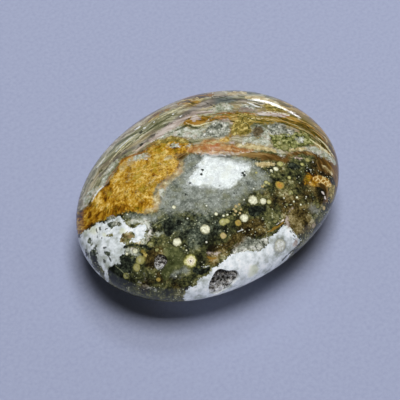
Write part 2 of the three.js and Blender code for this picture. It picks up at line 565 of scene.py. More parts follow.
# %% Patches and bands, mineral by mineral
MARKINGS = {
    "smoke": {
        "patches": [
            "-13 -3, -12.6 .5, -12.2 2.4, -9.5 4.2, -6.8 5.4, -5.9 7.2, -5 9.4, -1 9.9, 4 9.6,"
            "8 9.4, 11 8.2, 13 6.6, 14.5 5, 15 3.5, 13.5 1.8, 11 1, 9.2 -.3, 7.5 -2.5,"
            "4.5 -3.5, 1 -4.2, -2 -4, -5 -3.6, -9 -4.2",
            "25 -2.8, 26 -2.6, 26.8 -3.4, 26.4 -4.4, 25.4 -4.4"],
        "bands": [
            "-19 -5 .2, -16.6 -5.3 .5, -14 -5.5 .7, -11.4 -4.8 .6",
            "-9 -18.8 .3, -7.2 -18.5 .7, -5.2 -18 .5"]},
    "streaks": {
        "patches": [
            "-36 -6, -30.5 -3.5, -29.2 -3, -27.6 -.6, -25.6 1.8, -23.6 3.6, -22 5.6, -21 8.4,"
            "-18 9.8, -15.5 10.6, -13.5 12.6, -11 14, -7 14.1, -3 12.2, -3.5 10.6, 0 10.1,"
            "5 9.9, 9 10.6, 14 10.8, 17 10.9, 19 9.4, 22 10.6, 26 10.4, 29 8.6, 31 6.8, 36 6,"
            "36 16, 30 24, 20 29, 8 31, -6 29, -18 24, -28 16, -36 6"]},
    "slate": {
        "bands": [
            "-26 4.6 .1, -22 8.8 .2, -18.5 11.2 .3, -15.6 12.3 .35, -13 14.2 .45, -10 16.2 .5,"
            "-7 18.3 .55, -4 20.2 .7, -1 21.9 .85, 2 22.9 .9, 5 23.2 .7, 8 23.2 .4, 10 22.9 .2"]},
    "ochre": {
        "patches": [
            "-35 -11, -31.4 -9.4, -30 -8.7, -28.4 -7.5, -26.4 -6.4, -23.4 -5.4, -21 -4.3,"
            "-18.5 -3.7, -16.5 -4, -14 -4.1, -12.5 -3.7, -12.1 -2, -12.9 .3, -12.2 2.3,"
            "-9.5 4.3, -6.9 5.5, -6.2 7.2, -6.7 9.2, -5.4 10.1, -3.4 10.6, -3.7 12, -5 13.3,"
            "-8 14.1, -11 13.8, -13 12.8, -14.8 11, -17 10.1, -19.6 9.3, -21 8.2, -21.5 6.8,"
            "-22.4 5.3, -23.7 3.6, -25.2 2, -27 .2, -28.2 -2.2, -29.6 -3.2, -31.5 -4.3, -35 -6",
            "23.5 4.2, 24.1 4.9, 25.4 5.1, 26.6 4.6, 27 3.6, 28 2.8, 27.4 2.2, 26 2.5, 25 3,"
            "24 3.2"],
        "bands": [
            "3.4 13.4 .25, 5 13.8 .5, 6 14.8 .45, 6 16 .3"]},
    "haze": {
        "bands": [
            "-14.6 -4 .3, -12.8 -3.2 .6, -12.1 -1.8 .6, -11.7 0 .8, -10.9 1.4 .9, -10.3 2.8 .6,"
            "-8.8 4.2 .6, -7.2 5.2 .7, -6.3 6.6 .6, -6.2 8 .3",
            "-20.5 6.6 .2, -19.2 7.6 .45, -17.8 8.2 .4",
            "-19.8 -9.6 .2, -18.8 -9.4 .45, -18 -9.8 .2"]},
    "gold": {
        "patches": [
            "-.6 17.2, .6 18.4, 2.6 19.5, 5 20, 8 20.1, 11 19.9, 13.5 19.3, 17 19.2, 20 19.2,"
            "21.4 20.2, 20.6 21.4, 24 22, 32 16, 33 9, 31.4 9, 29.6 11.6, 27.2 13.8, 25.2 15.4,"
            "23 15.9, 20.4 16.5, 18 17.5, 14.6 17.3, 11.6 17.5, 10.4 16.4, 10 15.3, 8.4 14.5,"
            "6.8 14.8, 6.2 16, 5.8 17.8, 4.6 18.7, 2.6 18.4, 1 17.8",
            "-5.6 17.4, -4.6 18.8, -2.6 19.4, 0 19.2, 1.6 19.6, .4 18.4, -.4 17.2, -3 16.9"],
        "bands": [
            "-7 22.2 .3, -4.4 23.1 .55, -1.6 23.9 .5, 1.6 24.5 .3",
            "-14.6 17.6 .1, -11.8 19.8 .25, -9 21 .1"]},
    "amber": {
        "bands": [
            "-14.8 11.5 .2, -13.2 12.5 .4, -11.5 12.4 .3",
            "-7.2 9.8 .5, -6.3 9.4 .75, -5.1 10 .4",
            "1 10.1 .3, 4 10.1 .5, 8 10 .6, 12 9.8 .8, 15 9.5 .8, 18 8.9 .7, 20 8.6 .4",
            "19.4 9.5 .3, 21.5 10.2 .4, 24 10.3 .45, 26.4 9.8 .5, 28 9 .5",
            "27 2.6 .3, 28.6 2 .4, 29 .6 .3, 28.8 -1.4 .2",
            "17 20.7 .2, 20 20.2 .3, 22.6 19.2 .2"],
        "patches": [
            "26.7 7.2, 27 8.6, 28.4 9.2, 30 8.7, 31.4 7.2, 33 5, 34.5 -2, 31.4 -2, 31.3 1,"
            "30.9 3.4, 29.7 5.1, 28.2 5.8, 27.2 6.2"]},
    "salmon": {
        "bands": [
            "-4.6 11 .4, -1.8 11.3 1.1, .6 11.5 1.4, 3 11.5 1.3, 6 11.4 .9, 8.4 11.1 .5,"
            "11 10.9 .3",
            "-.4 13.2 .3, .8 13.4 .4, 2 13 .3", "2.2 18.9 .15, 3.6 18.8 .3, 4.8 19 .15"]},
    "olive": {
        "patches": [
            "-12.4 12.5, -11 13.6, -8 14.1, -5 13.6, -4.2 12.8, -6 12.7, -9 12.9, -11.4 12.2",
            "6.2 15, 6.1 16.6, 6.8 17.8, 7.7 18.6, 7.8 19.5, 9 20, 10.8 19.5, 11.8 18.5,"
            "10.9 17.7, 10.5 16.8, 10.7 15.6, 9.8 14.9, 8.6 14.5, 7.2 14.6",
            "13.8 21.8, 14.6 22.4, 16.2 22.1, 17.6 21.4, 19.6 20.6, 18 20.3, 15.4 20.5,"
            "14.5 20.9"],
        "bands": [
            "29.3 3 .4, 30.1 2.2 .7, 30.5 1 .75, 30.5 -.4 .6, 30.2 -1.4 .2",
            "-15.7 -13.2 .2, -14.9 -14.2 .55, -15 -15.3 .4"]},
    "fern": {
        "patches": [
            "15.2 14.6, 15.5 13, 16.3 11.8, 17.6 11, 19.6 10.7, 22 11.2, 24 12, 25.6 12.2,"
            "26.6 13, 25.2 14.2, 24.2 15.2, 22 15.4, 19.8 15.3, 17.6 14.9, 16.3 15"]},
    "ash": {
        "patches": [
            "-.6 15.2, .6 17, 2.2 17.8, 4.2 18, 5.4 17.4, 5.4 15.9, 5 14.8, 3.2 14.3, 1 14.2,"
            "-1.5 13.8, -3.5 14, -4.2 15, -2.8 15.8",
            "14.8 16.5, 16 17.3, 18.2 17.3, 19.8 16.4, 21.2 15.8, 20.6 14.9, 18.5 14.8,"
            "16.6 14.8, 15.2 15.2",
            "5.8 -13.3, 7 -12, 8.2 -10.8, 9.6 -10, 11.4 -10.3, 12.8 -10.7, 14.2 -9.8,"
            "15.3 -10.4, 15.4 -11.4, 14.2 -12.5, 12.4 -13.5, 10.6 -13.2, 8.7 -13.7, 7 -14.4",
            "10.9 14.2, 10.8 15.6, 11.5 16.8, 12.9 17.1, 14 16.4, 14.2 15.4, 13.6 14.6,"
            "12.2 14.2",
            "7.6 21.2, 8.4 21.9, 10 22, 12 21.5, 12.8 20.9, 11 20.7, 9 20.9",
            "-24.2 -5.6, -22.4 -5.3, -20.6 -6, -20.7 -7, -22.4 -7.3, -23.8 -6.9"],
        "bands": [
            "-16.6 -20.8 .1, -15.4 -21.6 .25, -14 -22.3 .3, -12.2 -22.8 .2",
            "-15.1 -19 .05, -14.9 -20.4 .15"]},
    "cream": {
        "bands": [
            "-.4 12.9 .1, 1 12.6 .15, 2.6 13.1 .2",
            "7.5 12.3 .3, 10 11.9 .55, 13 11.6 .6, 15 11.2 .4, 16.6 10.6 .3",
            "12 7.6 .3, 13.4 7.5 .55, 15 7.6 .55, 16.4 7.6 .35", "17.3 7.8 .3, 18.5 7.6 .3",
            "20.2 11.2 .2, 22 11.2 .3, 24 11.3 .2", "-10.2 9 .3, -9.2 9.2 .5, -8.2 9 .3",
            "5.4 24.6 .3, 7 24.9 .4, 9.4 24.8 .3",
            "9.4 23.9 .2, 12 23.7 .5, 15 23 .5, 17.6 21.9 .3",
            "-27 1.2 .3, -26 2 .35, -25.4 2.3 .2", "-16.9 -11.3 .4, -15.6 -11.2 .5",
            "17.6 -6.5 .15, 18.4 -6 .3", "28 7.2 .05, 29.2 6.5 .2, 30.3 5.2 .1"]},
    "frost": {
        "patches": [
            "-12.5 13.9, -10.5 15.3, -8.5 16.2, -6.5 16.6, -4.5 16.2, -2.5 16, -.6 16.2,"
            "-1.2 14.8, -3 13.9, -6 14.4, -9 14.3, -11 13.8",
            ".6 20.2, 2 21.6, 3.5 22.3, 5.5 22.2, 6.2 21.2, 5.4 20.4, 3.4 20.2",
            "12.9 12.4, 12.8 14, 13.6 15.2, 14.3 16.2, 14.9 15.8, 15 14.2, 15.4 12.8, 14.6 12.1",
            "-9.6 12, -8.4 12.5, -7.2 12.4, -6.8 12.1, -7.6 11.9, -8.8 11.8",
            # The last patch, round 22.6 13.4, is a painted glint.
            "21.8 13.3, 22.4 14, 23.3 13.9, 23.4 13.2, 22.4 12.8"],
        "bands": [
            "-25.2 2.6 .4, -24.7 3.6 .7, -24.3 4.6 .55, -23.8 5.8 .45, -22.6 7.4 .4,"
            "-21.6 8.4 .2",
            "-30.2 -3 .3, -29.2 -.8 .7, -27.6 .8 .6, -26.4 1.8 .3",
            "-19 8.4 .2, -17.4 9 .5, -15.6 9.4 .6, -14.2 9.6 .3",
            "-11.6 1.5 .2, -10.9 1.2 .5, -10.8 .2 .35",
            "-19 -6.8 .2, -17 -6.2 .5, -15.2 -6.4 .7, -13.9 -7.6 .6, -13.7 -9 .4,"
            "-14.8 -10.6 .5, -15.8 -11.4 .2",
            "-19.4 -13 .3, -18.2 -13.4 .75, -17.2 -13.9 .75, -16.4 -14.6 .3",
            "-12.8 -9.4 .2, -11.6 -9.3 .4, -10.6 -9.2 .2", "-5 11.9 .2, -4.3 12.1 .25",
            "16.8 11 .2, 17.4 10.4 .4, 18.4 9.6 .3", "8.6 13 .4, 10.6 13.6 .6, 12.6 12.9 .5",
            "24.2 11.5 .2, 26.2 11.1 .6, 28 10.2 .8, 29.6 9.2 .7, 30.8 8 .4",
            "-4 15.4 .1, -2 15.3 .2"]},
    "rope": {
        "bands": [
            "25.8 4.2 .3, 26.8 4.1 .75, 28 3.8 .85, 29 3.2 .8, 29.8 2.5 .5",
            "25 3.3 .12, 25 2.6 .16"]},
    "white": {
        "patches": [
            "-30.6 -10, -29.6 -8.6, -28.3 -8.3, -27.8 -7.7, -27 -7.5, -26.6 -6.7, -25 -6.7,"
            "-24 -6.2, -23.2 -5.8, -22 -5.4, -20.8 -5.3, -20.2 -6.2, -19.3 -7.4, -17.5 -7.8,"
            "-16.5 -7, -15 -7.1, -14.6 -8.3, -14.9 -9.5, -15.5 -10.6, -16.8 -11.3, -18.5 -11.2,"
            "-19.3 -11.6, -19.9 -12.2, -19.8 -13.2, -20.1 -14.1, -21 -14.7, -20.9 -15.8,"
            "-20.7 -16.6, -22.2 -16.6, -23.3 -17.3, -23.9 -18, -23.8 -19.5, -24 -22, -27 -22,"
            "-31 -18, -33 -13",
            "-5.4 -25, -4.5 -22.4, -3 -22, -2.2 -20.8, -1.8 -20, -.9 -19.7, .5 -18.9,"
            "1.5 -17.5, 3 -17, 3.6 -16, 5 -15.2, 6 -14.2, 7 -14, 8.5 -13.6, 10.2 -13.2,"
            "12.5 -13.5, 14 -12.5, 15.3 -11.2, 15 -10.3, 16 -9.5, 17 -8.8, 18.3 -7.8,"
            "19.5 -7.3, 20.3 -8, 20.9 -9, 21.4 -9.6, 22 -10.2, 22.8 -10.6, 22.5 -11.4,"
            "21.8 -12.3, 20.8 -13.2, 19.5 -15.4, 17 -20, 8 -26, -2 -29"],
        "holes": [
            "-23.9 -7.4, -23.6 -6.5, -22.4 -6.1, -21.1 -6.2, -20.8 -7, -22.2 -7.5, -23.2 -7.9",
            "-20.9 -11.2, -20.6 -10, -19.6 -8.9, -18 -8.9, -17.4 -9.8, -18.6 -10.8, -19.4 -11.6",
            "-24.3 -9.9, -23.9 -9.4, -22.9 -9.3, -22.8 -9.8, -23.8 -10.1"],
        "gaps": [
            "-28.2 -10.4 .2, -28.3 -11.2 .4, -27.9 -11.8 .3", "-29.2 -13.3 .25, -28.9 -14.3 .4",
            "-26.7 -11.9 .2, -27 -13.1 .5, -27.5 -14.2 .8, -27.3 -15.6 .85, -26.6 -17 .8,"
            "-25.6 -18.4 .6, -24.8 -20.4 .4",
            "-24.6 -13.8 .2, -23.8 -14.2 .4, -23.3 -14.2 .2"]},
    "pink": {
        "patches": [
            "-4 18.9, -2.8 19.3, -1.6 18.9, -1.8 18.3, -3.2 18.1"],
        "bands": [
            "-13.6 13.2 .3, -12 14.4 .5, -10 15.8 .7, -7.6 17.3 .6, -5.4 18.6 .5, -3.6 19.7 .4",
            "-3.4 20 .2, -1 20.1 .35, 1.6 20.3 .2",
            "11.5 19.7 .2, 13 19.8 .4, 16 19.7 .45, 19 19.5 .35",
            "8 21 .2, 10 20.8 .3, 12 20.5 .2", "5.6 12.7 .2, 6.6 12.9 .25",
            "3.4 17.9 .2, 5 18.2 .35, 6 17.6 .3", ".2 -13.9 .1, 2 -14.1 .25, 4 -13.6 .1",
            "20.8 -3 .05, 20 -4 .1, 19.5 -5 .25, 19.4 -6 .15, 19.6 -7 .25, 20 -7.9 .15",
            "21.8 -10.6 .3, 21.4 -12 .35", "21.4 9.1 .08, 23.2 8.9 .15",
            "8 20.7 .1, 9.4 20.7 .2, 10.2 20.6 .1"]},
    "ink": {
        "patches": [
            "-23.8 -17.4, -21.2 -16.8, -20.9 -15.3, -19.2 -14.9, -18.2 -15.6, -18.3 -18.2,"
            "-19.4 -19, -19 -20.6, -21 -21.8, -23.2 -20.6",
            "-10.3 -6.4, -9 -6, -8 -7, -8.3 -9.1, -9.6 -10, -10.3 -8.6",
            "9.9 -3.3, 11 -2.7, 13 -2.6, 14.4 -3.2, 13.4 -4, 12 -5, 10.3 -4.7",
            "-3.2 -17, -1.6 -17.6, -.4 -17.6, .8 -17.4, .5 -18.4, -.7 -19, -2 -19.2, -3.3 -18.4",
            "19.6 7.4, 20.6 8, 22 7.6, 22.6 6.8, 21.8 6.4, 20.2 6.6"],
        "bands": [
            "-19.8 -12.6 .35, -18.6 -12 .2, -16.5 -12.1 .25, -14.8 -12.4 .5, -13.6 -13 .3"]},
    "jade": {
        "patches": [
            "-10.6 -12.8, -8.4 -12.6, -6.4 -13.2, -5.4 -14.6, -5.6 -16.6, -6.6 -17.8, -8.2 -19,"
            "-9.6 -20.6, -10.8 -19.6, -10.4 -17.4, -9.8 -15.4"]},
}


def mineral_reach(place, marks):
    """Adds up a mineral's patches and bands, and then cuts out its holes and gaps."""
    reach = np.full(len(place), -REACH_LIMIT)
    for added, cut, reach_of in (("patches", "holes", patch_reach), ("bands", "gaps", band_reach)):
        for text in marks.get(added, ()):
            reach = np.maximum(reach, reach_of(place, text))
        for text in marks.get(cut, ()):
            reach = np.minimum(reach, -reach_of(place, text))
    return reach


reaches = {mineral: mineral_reach(sheet, marks) for mineral, marks in MARKINGS.items()}
for mineral, reach in reaches.items():
    print(f"{mineral}: {100 * np.mean(reach[front] > 0):.1f}% of the seen side")

# %% [markdown]
# ## Veins
#
# Some lines are thinner than the mesh is fine, and a distance stored at the corners can't
# carry them. So each face of the mesh is told which straight step of a vein lies nearest to
# it: the step's two ends, its half width and its colour. The shader then measures the exact
# distance to that step, and a hair-thin line stays sharp on a much coarser mesh.

# %% Veins, each point with its half width in mm
VEIN_COLOURS = {
    "ink": "1c1f17", "rust": "8a5420", "cream": "e0d8ae", "white": "eff2f0", "pink": "d8beae",
    "shell": "f0e4da", "honey": "8e6d28", "moss": "3c401c", "reed": "8f9470"}
VEINS = {
    "ink": [
        "-24.9 -12.7 .28, -24.4 -12.6 .2", "-23.9 -14.4 .16, -23.2 -15.9 .16",
        "-24.9 -15.5 .18, -24.7 -16.1 .28", "-26.4 -9.8 .1, -26.4 -10.2 .1",
        "-25.4 -10.1 .08, -25.4 -10.5 .08", "-26.7 -8.1 .14, -26.5 -9 .08",
        "-25.9 -7.8 .24, -25.8 -8.2 .26", "-24.5 -8.2 .16, -24.1 -8 .14",
        "20.2 -8.6 .14, 20.5 -9 .1", "21 -9.6 .14, 21.3 -9.9 .08", "20.2 -10 .08, 21.2 -10.6 .12",
        "24.3 16.8 .06, 24.7 16.2 .14",
        "22.8 -11.3 .1, 21.6 -12.6 .14, 20.3 -13.7 .12, 18.2 -15.8 .12",
        "21.7 14.4 .2, 22.3 14.1 .12", "-8.8 12.1 .2, -8.4 12.1 .16",
        "-5.7 12.1 .16, -5.3 12.1 .14", "9.8 22.9 .05, 11.4 22.8 .14, 13 22.3 .16, 14 22.4 .06",
        "11.4 22.3 .1, 12.8 21.9 .12", "1.6 24 .04, 3.6 24 .07, 5 24 .04",
        "-.4 22.6 .06, .4 22.2 .1", "1 22 .06, 1.9 21.4 .1", "-16.1 15.2 .3, -15.7 15.5 .24",
        "-4.5 3.2 .2, -3.9 3.1 .26, -3.4 2.5 .12", "-5.2 .4 .08, -4.6 .1 .1",
        "-16 12.2 .3, -15.6 12.5 .26", "-2 18.3 .08, -1.2 18.2 .1, -.6 18.4 .06",
        "9.6 12.6 .05, 11 13 .08"],
    "moss": [
        "-7.8 15.6 .08, -6.4 16.2 .18, -5.2 16.8 .27, -4.5 17.1 .27, -3.6 16.6 .28,"
        "-2.4 16.3 .2, -1.6 16.4 .08",
        "7.2 14.9 .06, 7.1 15.6 .14, 7.4 16.3 .08",
        "9.7 14.8 .05, 10.2 15.8 .1, 10.1 16.9 .14, 9.3 17.6 .1, 8.4 17.4 .06",
        "8.4 17.8 .06, 8.7 18.6 .1, 8.2 19.6 .07", "24.4 14.9 .08, 25.2 13.9 .14, 26.2 13.1 .08",
        "21.6 12 .08, 23.4 12 .14, 25 12.1 .08",
        "2 18.3 .06, 4 18.9 .1, 6 18.7 .08, 7.6 19.1 .08", "8.2 19.6 .07, 8.9 18.7 .1",
        "5.6 19.7 .06, 7.4 19.8 .1, 9 19.3 .1, 10.6 18.6 .14, 12 18.7 .08",
        "9.5 19 .08, 12 18.3 .12, 14 17.9 .1, 16 17.9 .12, 19 17.3 .14, 21 16.6 .14,"
        "22.4 16 .14, 24 15.3 .14, 25.6 14.2 .14, 27 13 .12, 28.6 11.8 .1, 30.4 9.6 .08",
        "10.4 17.7 .08, 12.6 17.4 .12, 13.6 17.5 .08", "12 19.5 .06, 15 19.1 .1, 18 18.9 .06",
        "19 18.2 .06, 22 17 .1, 24.6 15.9 .1, 27 14.2 .08, 29.4 12 .06",
        "1.2 23.7 .08, 3 23.8 .1, 5 23.5 .07", "14.3 -8.8 .05, 16 -7.7 .1, 17.6 -6.8 .05",
        "2.8 -14.3 .04, 4.7 -13.6 .1, 6.5 -12 .1, 7.7 -10.9 .05",
        "15 21.4 .1, 17 21.2 .14, 19 20.6 .1, 21 19.6 .08",
        "-22 9.4 .06, -19 12 .1, -16 14.4 .12, -13 16.6 .12, -10 18.4 .1, -7 20.2 .06",
        "-26 5.6 .15, -25.4 6.2 .2", "-28.2 3 .1, -27.6 3.8 .16", "22 9.2 .06, 24 9.3 .08",
        "14 10.6 .05, 17 10.1 .08, 19.6 9.8 .05"],
    "rust": [
        "-12.7 5.2 .08, -11.9 4.8 .12", "-9.7 7 .14, -9.5 7 .14", "-9.5 6.3 .14, -9.3 6.3 .12",
        "-24.6 2.4 .05, -23.4 4.6 .1, -21.5 7 .1, -19.8 8.9 .14, -17.6 9.8 .14, -15.6 10.4 .14,"
        "-14.3 11.6 .12",
        "1.6 19.6 .08, 4 20 .12, 6.6 19.9 .1", "-1 10.7 .06, 3 10.9 .1, 7 10.7 .08, 11 10.7 .06",
        "14.4 20 .06, 17 19.9 .1, 20 19 .08", "8 20.1 .06, 10 20 .1, 12.4 19.6 .06"],
    "cream": [
        "-5 17.6 .08, -4 17.2 .12, -2.6 16.9 .14, -1 17.2 .14, .4 17.6 .08",
        "26 12.9 .1, 28 11.5 .18, 30 9.8 .16", "25 13.6 .08, 27 12.2 .14, 29.4 10.2 .1",
        # The second cream vein here, from -26.5 7 to -24.4 9.6, is a painted highlight along the
        # streaks.
        "26.4 14.4 .05, 28.6 12.4 .14, 30.6 9.6 .1", "-26.5 7 .08, -25.4 8.3 .12, -24.4 9.6 .08",
        "-21 10.5 .06, -18 12.9 .1, -14.5 15.4 .08", "-23.5 8.2 .06, -20.5 11.6 .1, -17 14.8 .08",
        "14.6 20.3 .08, 17 20.2 .1, 20 19.6 .08", "-12 18.4 .05, -9 20 .1, -5 22 .06",
        "10 18.6 .05, 12 18.7 .08, 15 18.7 .05"],
    "reed": [
        "-22.2 -17 .04, -20.9 -18 .09, -19.7 -19.2 .05",
        "19.6 17.7 .04, 22.4 16.5 .08, 25 15 .08, 27.4 13.1 .05",
        "-13.4 -7.8 .04, -12 -6.7 .08, -10.6 -6 .08, -9.2 -5.3 .06"],
    "white": [
        "25.6 8.6 .05, 25.8 8 .05", "-27.8 -1.4 .05, -27 0 .12, -26 1.4 .16, -25 2.2 .12",
        "9.8 22.5 .1, 11.2 22 .16, 12 21.6 .14, 13.3 21.4 .1",
        "10 23.2 .08, 12.6 23 .12, 15 22.7 .12, 17 22 .1",
        "13.6 20.1 .05, 17 19.9 .1, 20 19.3 .06", "-17.4 15.9 .08, -16.2 16.7 .14",
        # The first white vein here, from -26.6 6.8 to -24.6 9.2, is a painted highlight along the
        # streaks.
        "-26.6 6.8 .06, -25.6 8 .12, -24.6 9.2 .08", "-15.2 16.3 .15, -14.8 16.4 .15",
        "-8.2 19.6 .12, -7.9 19.8 .12", "-6.4 19.1 .12, -6 19.3 .12",
        "-12.9 17.6 .1, -12.7 17.8 .1", "-1.2 -17.2 .05, -.3 -17.3 .1, .6 -17 .05",
        # The first vein here, from 7.5 -8.8 to 8.7 -8.3, is a painted glint.
        "7.5 -8.8 .02, 8.1 -8.5 .07, 8.7 -8.3 .1", "24.3 6.8 .04, 24.5 6.7 .06",
        "25 6.3 .04, 25.2 6.1 .07", "-22 10.6 .05, -19.6 13 .1, -17.4 14.6 .05"],
    "honey": [
        ".3 -14.9 .1, 1.2 -15.3 .36, 2.2 -15.2 .16", ".6 -15.9 .06, 1.5 -15.8 .14",
        "14.5 -8.8 .05, 15.7 -8.5 .2, 16.5 -7.8 .3, 17.5 -7.4 .2, 18.5 -6.5 .16",
        "29.2 7.8 .05, 30.2 6.7 .12, 30.9 5.4 .08"],
    "shell": [
        "27.9 .9 .06, 28.2 .6 .24, 28.4 .3 .08", "28.6 -.2 .06, 28.7 -.6 .2, 28.8 -.9 .04",
        "17.9 -6.4 .06, 18.6 -5.9 .14", "16.9 -7.1 .05, 17.5 -6.7 .1"],
    "pink": [
        "21.5 9.1 .08, 23.1 9 .1", "-18 10.7 .06, -16.6 11.2 .1, -14.8 12.7 .08"],
}


def vein_steps():
    rows = []
    for kind, lines in VEINS.items():
        for text in lines:
            line = curve_through(numbers(text), closed=False, steps=3)
            rows += [(*a[:2], *b[:2], (a[2] + b[2]) / 2, kind) for a, b in zip(line, line[1:])]
    return rows


def middles(mesh, values):
    """The mean over each face's corners of values that are given for every vertex."""
    corner = np.empty(len(mesh.loops), np.int32)
    mesh.loops.foreach_get("vertex_index", corner)
    start = np.empty(len(mesh.polygons), np.int32)
    mesh.polygons.foreach_get("loop_start", start)
    return np.add.reduceat(values[corner], start) / np.diff(np.append(start, len(corner)))[:, None]


veins = vein_steps()
vein_ends = np.array([row[:4] for row in veins])
vein_widths = np.array([row[4] for row in veins])
face_sheet = middles(stone_mesh, sheet)
nearest_vein = np.concatenate([
    (near_steps(part, vein_ends[:, :2], vein_ends[:, 2:])[0] - vein_widths).argmin(axis=1)
    for part in in_parts(face_sheet)])
print(len(veins), "vein steps")

# %% [markdown]
# ## Tone, painted shade, warmth and bedding
#
# Within one mineral the stone still gets lighter and darker, or browner and greener, over a few
# millimetres. Soft round blobs added together say where. One of these blobs is painted shade:
# it darkens the white at the lower left rim. *Bedding* gives each point its place along and
# across the layers of the stone, measured from one guide line that follows them, so that fine
# streaks can run with the layers.

# %% Soft blobs and the bedding guide
# Each blob is x, y, radius in mm and strength.
TONE_AND_SHADE_BLOBS = (
    # The blob at -29 -16 is painted shade on the white of the lower left rim.
    "24.4 6.4 1.6 -.7, 21 3 3 .3, -29 -16 2.6 -1.1, 28 .8 1.3 -1.4, -15 5 5 .5, -9.5 9 2.5 .5,"
    "-21 0 2 .4, -27 -5 3 -.5, -22 -3.5 3 -.4, -18 -3 2.5 -.4, -24 2.6 1 -.8, -6.2 9.3 1 -1,"
    "-8.5 -7.5 3 -.3, -20 -17 3 -.6, -14 -22 4 -.5, 12.2 15.4 1.8 -.9, 7.5 -16 4 1.2,"
    "-25 -15 3 -.8, -30 -7 2.4 -.7, -24 -10 3 .6, -8 13.3 1.6 -.9, -18.8 -9.8 1.6 1.6,"
    "14 -16 3 -.2, 1 -21 2 .1, 23 7 4 -.1, -12 -3 3 .2, 12 -1 2 .2, 29.5 6.5 3 -.9, 29 0 3 -.3,"
    "18.3 -10 1.6 -.9, 8 10.2 2.4 1, 13 9.8 2 .6, -17 -5.5 3 .3, -22.5 -6.3 1.5 -.6,"
    "8 -12 2 -.4, 1 18 2 -.5, 12.6 15.5 1.6 -.8, 3.4 21.3 2.4 -.8, 22.6 -7 3 .9,"
    "24.1 -5.2 1.8 1.2, -15 -6 2.5 .5, 24.8 4 1.6 -.8, 1.6 -15.4 1.4 .9, 5.5 -12.4 1.2 .8,"
    "8 -10.4 1.2 .6, 12.4 -8 1.5 1.4, 1.4 -12.9 1.2 -.8, 9 -7 3 -.5, 8 -12 3 -.3, 16 -2 3 -.2,"
    "-8 -16 3 .1, 4 -8 4 -.2, 8.4 18.8 1.3 .8, 8.2 16 1.5 .7, 12.2 15.7 .6 -1.6")
WARM_BLOBS = (
    "20 0 6 .25, 22 -6.5 2.4 .7, -27.5 -14 3 -.9, 8.5 -6 3 .5, 11 -8 2.5 .5, 4.5 -12.5 2 .5,"
    "1.5 -13 1.8 1.1, 1.5 -15.4 1.6 1.2, 4.6 -13 1.1 1, 6.4 -11.6 1.1 1, 8 -10.4 1.1 1,"
    "12.4 -8 1.6 1.1, 7 -10.3 2 .4, 23 -6.5 4 .6, 1.5 11.8 1.8 .9, 4.5 23 3 -.9, 16 -2 5 .3,"
    "29 7 4 .9, 28.5 -1 2 .7, -15 -21.5 2 .7, -10.8 -19.8 1.5 .9, -7 -22.5 3 .5, -19 -10 2 .4,"
    "13 -6.5 2.5 .6, 20 8.5 3 .5, 12.5 15.3 1.3 1.3, -12 -14 2 .9, -13.6 -16.5 1.6 .9,"
    "-28 -8.6 3 .9, 25.5 3 3 .5, -14 -14 2 .2, 22 -2 4 .25, -9 -7 3.5 -.6, -2 -7 4.5 -.5,"
    "3 -6 3 -.4, -3 -11 3 -.4, -20 -17 3 -.8, 12 -4 2 -.8, 22 7 3 -.3, 1 -11 3 -.2,"
    "-17 -5.5 3 -.5, 15.5 -5.5 2 -.6, 19 21 4 .95, 26 18 5 .85, 31 12 4 .7, -3 23.6 3 .8,"
    "-13 18 2 .4, -28.3 -11.2 1.3 -1.6, -24 -14 1.3 -1.2, -23.6 -7 1.1 -1.4, 11.5 -18 1.5 1.1,"
    "10.3 -19.4 1 .6, -20.4 -8.6 .9 1, -24.7 -9.5 .6 1, -20.6 -11 .8 .8")
BEDDING_GUIDE = (
    "-34 -6, -29.5 -2, -27 3, -22 9, -15 14, -7 18, 1 19.6, 10 19.4, 19 18.4, 25 15.6,"
    "29.6 10.5, 32 3, 32 -6")


def blob_sum(place, text):
    total = np.zeros(len(place))
    for x, y, radius, strength in numbers(text):
        total += strength * np.exp(-((place - (x, y)) ** 2).sum(axis=1) / radius ** 2)
    return total


def bedding_of(place):
    line = curve_through(numbers(BEDDING_GUIDE), closed=False)
    starts, ends = line[:-1], line[1:]
    lengths = np.linalg.norm(ends - starts, axis=1)
    travelled = np.concatenate([[0], np.cumsum(lengths)[:-1]])
    rows = []
    for part in in_parts(place):
        distance, t = near_steps(part, starts, ends)
        best = distance.argmin(axis=1)
        row = np.arange(len(part))
        t = t[row, best]
        step = (ends - starts)[best]
        offset = part - starts[best]
        side = np.sign(step[:, 0] * offset[:, 1] - step[:, 1] * offset[:, 0])
        rows.append(np.stack([travelled[best] + t * lengths[best],
                              side * distance[row, best], np.zeros(len(part))], axis=1))
    return np.concatenate(rows)


tone_and_shade = blob_sum(sheet, TONE_AND_SHADE_BLOBS)
warmth = np.clip(blob_sum(sheet, WARM_BLOBS), -1, 1)
bedding = bedding_of(sheet)
print("tone from", round(tone_and_shade.min(), 2), "to", round(tone_and_shade.max(), 2))

# %% [markdown]
# ## Orbs
#
# An orb is a ball of radiating crystals that grew in the silica gel, so it is three-dimensional
# here as well: a centre on the skin, a radius, and a kind that gives its colours. Every face
# of the mesh remembers the centre and radius of the orb nearest to it, and the shader measures
# the true distance to that centre. That keeps an orb round however coarse the mesh is. The
# pinprick pits that polishing leaves are stored the same way.
#
# On the far side, which the plan doesn't cover, more orbs are scattered by a seeded generator.

# %% Orbs on the seen side and the far side
ORB_COLOURS = {
    "cream": "f1f1d6", "target": "e6dfb0", "orange": "c2983e", "lime": "b4b172", "pear": "a09a62",
    "tan": "c4ad7c", "gold": "b8964a", "pearl": "e9ecea", "ghost": "a0a06a", "mauve": "a08c78",
    # The pit colour is painted shade for the inside of a pinprick.
    "spark": "f2f4ea", "pit": "2c2f2a"}
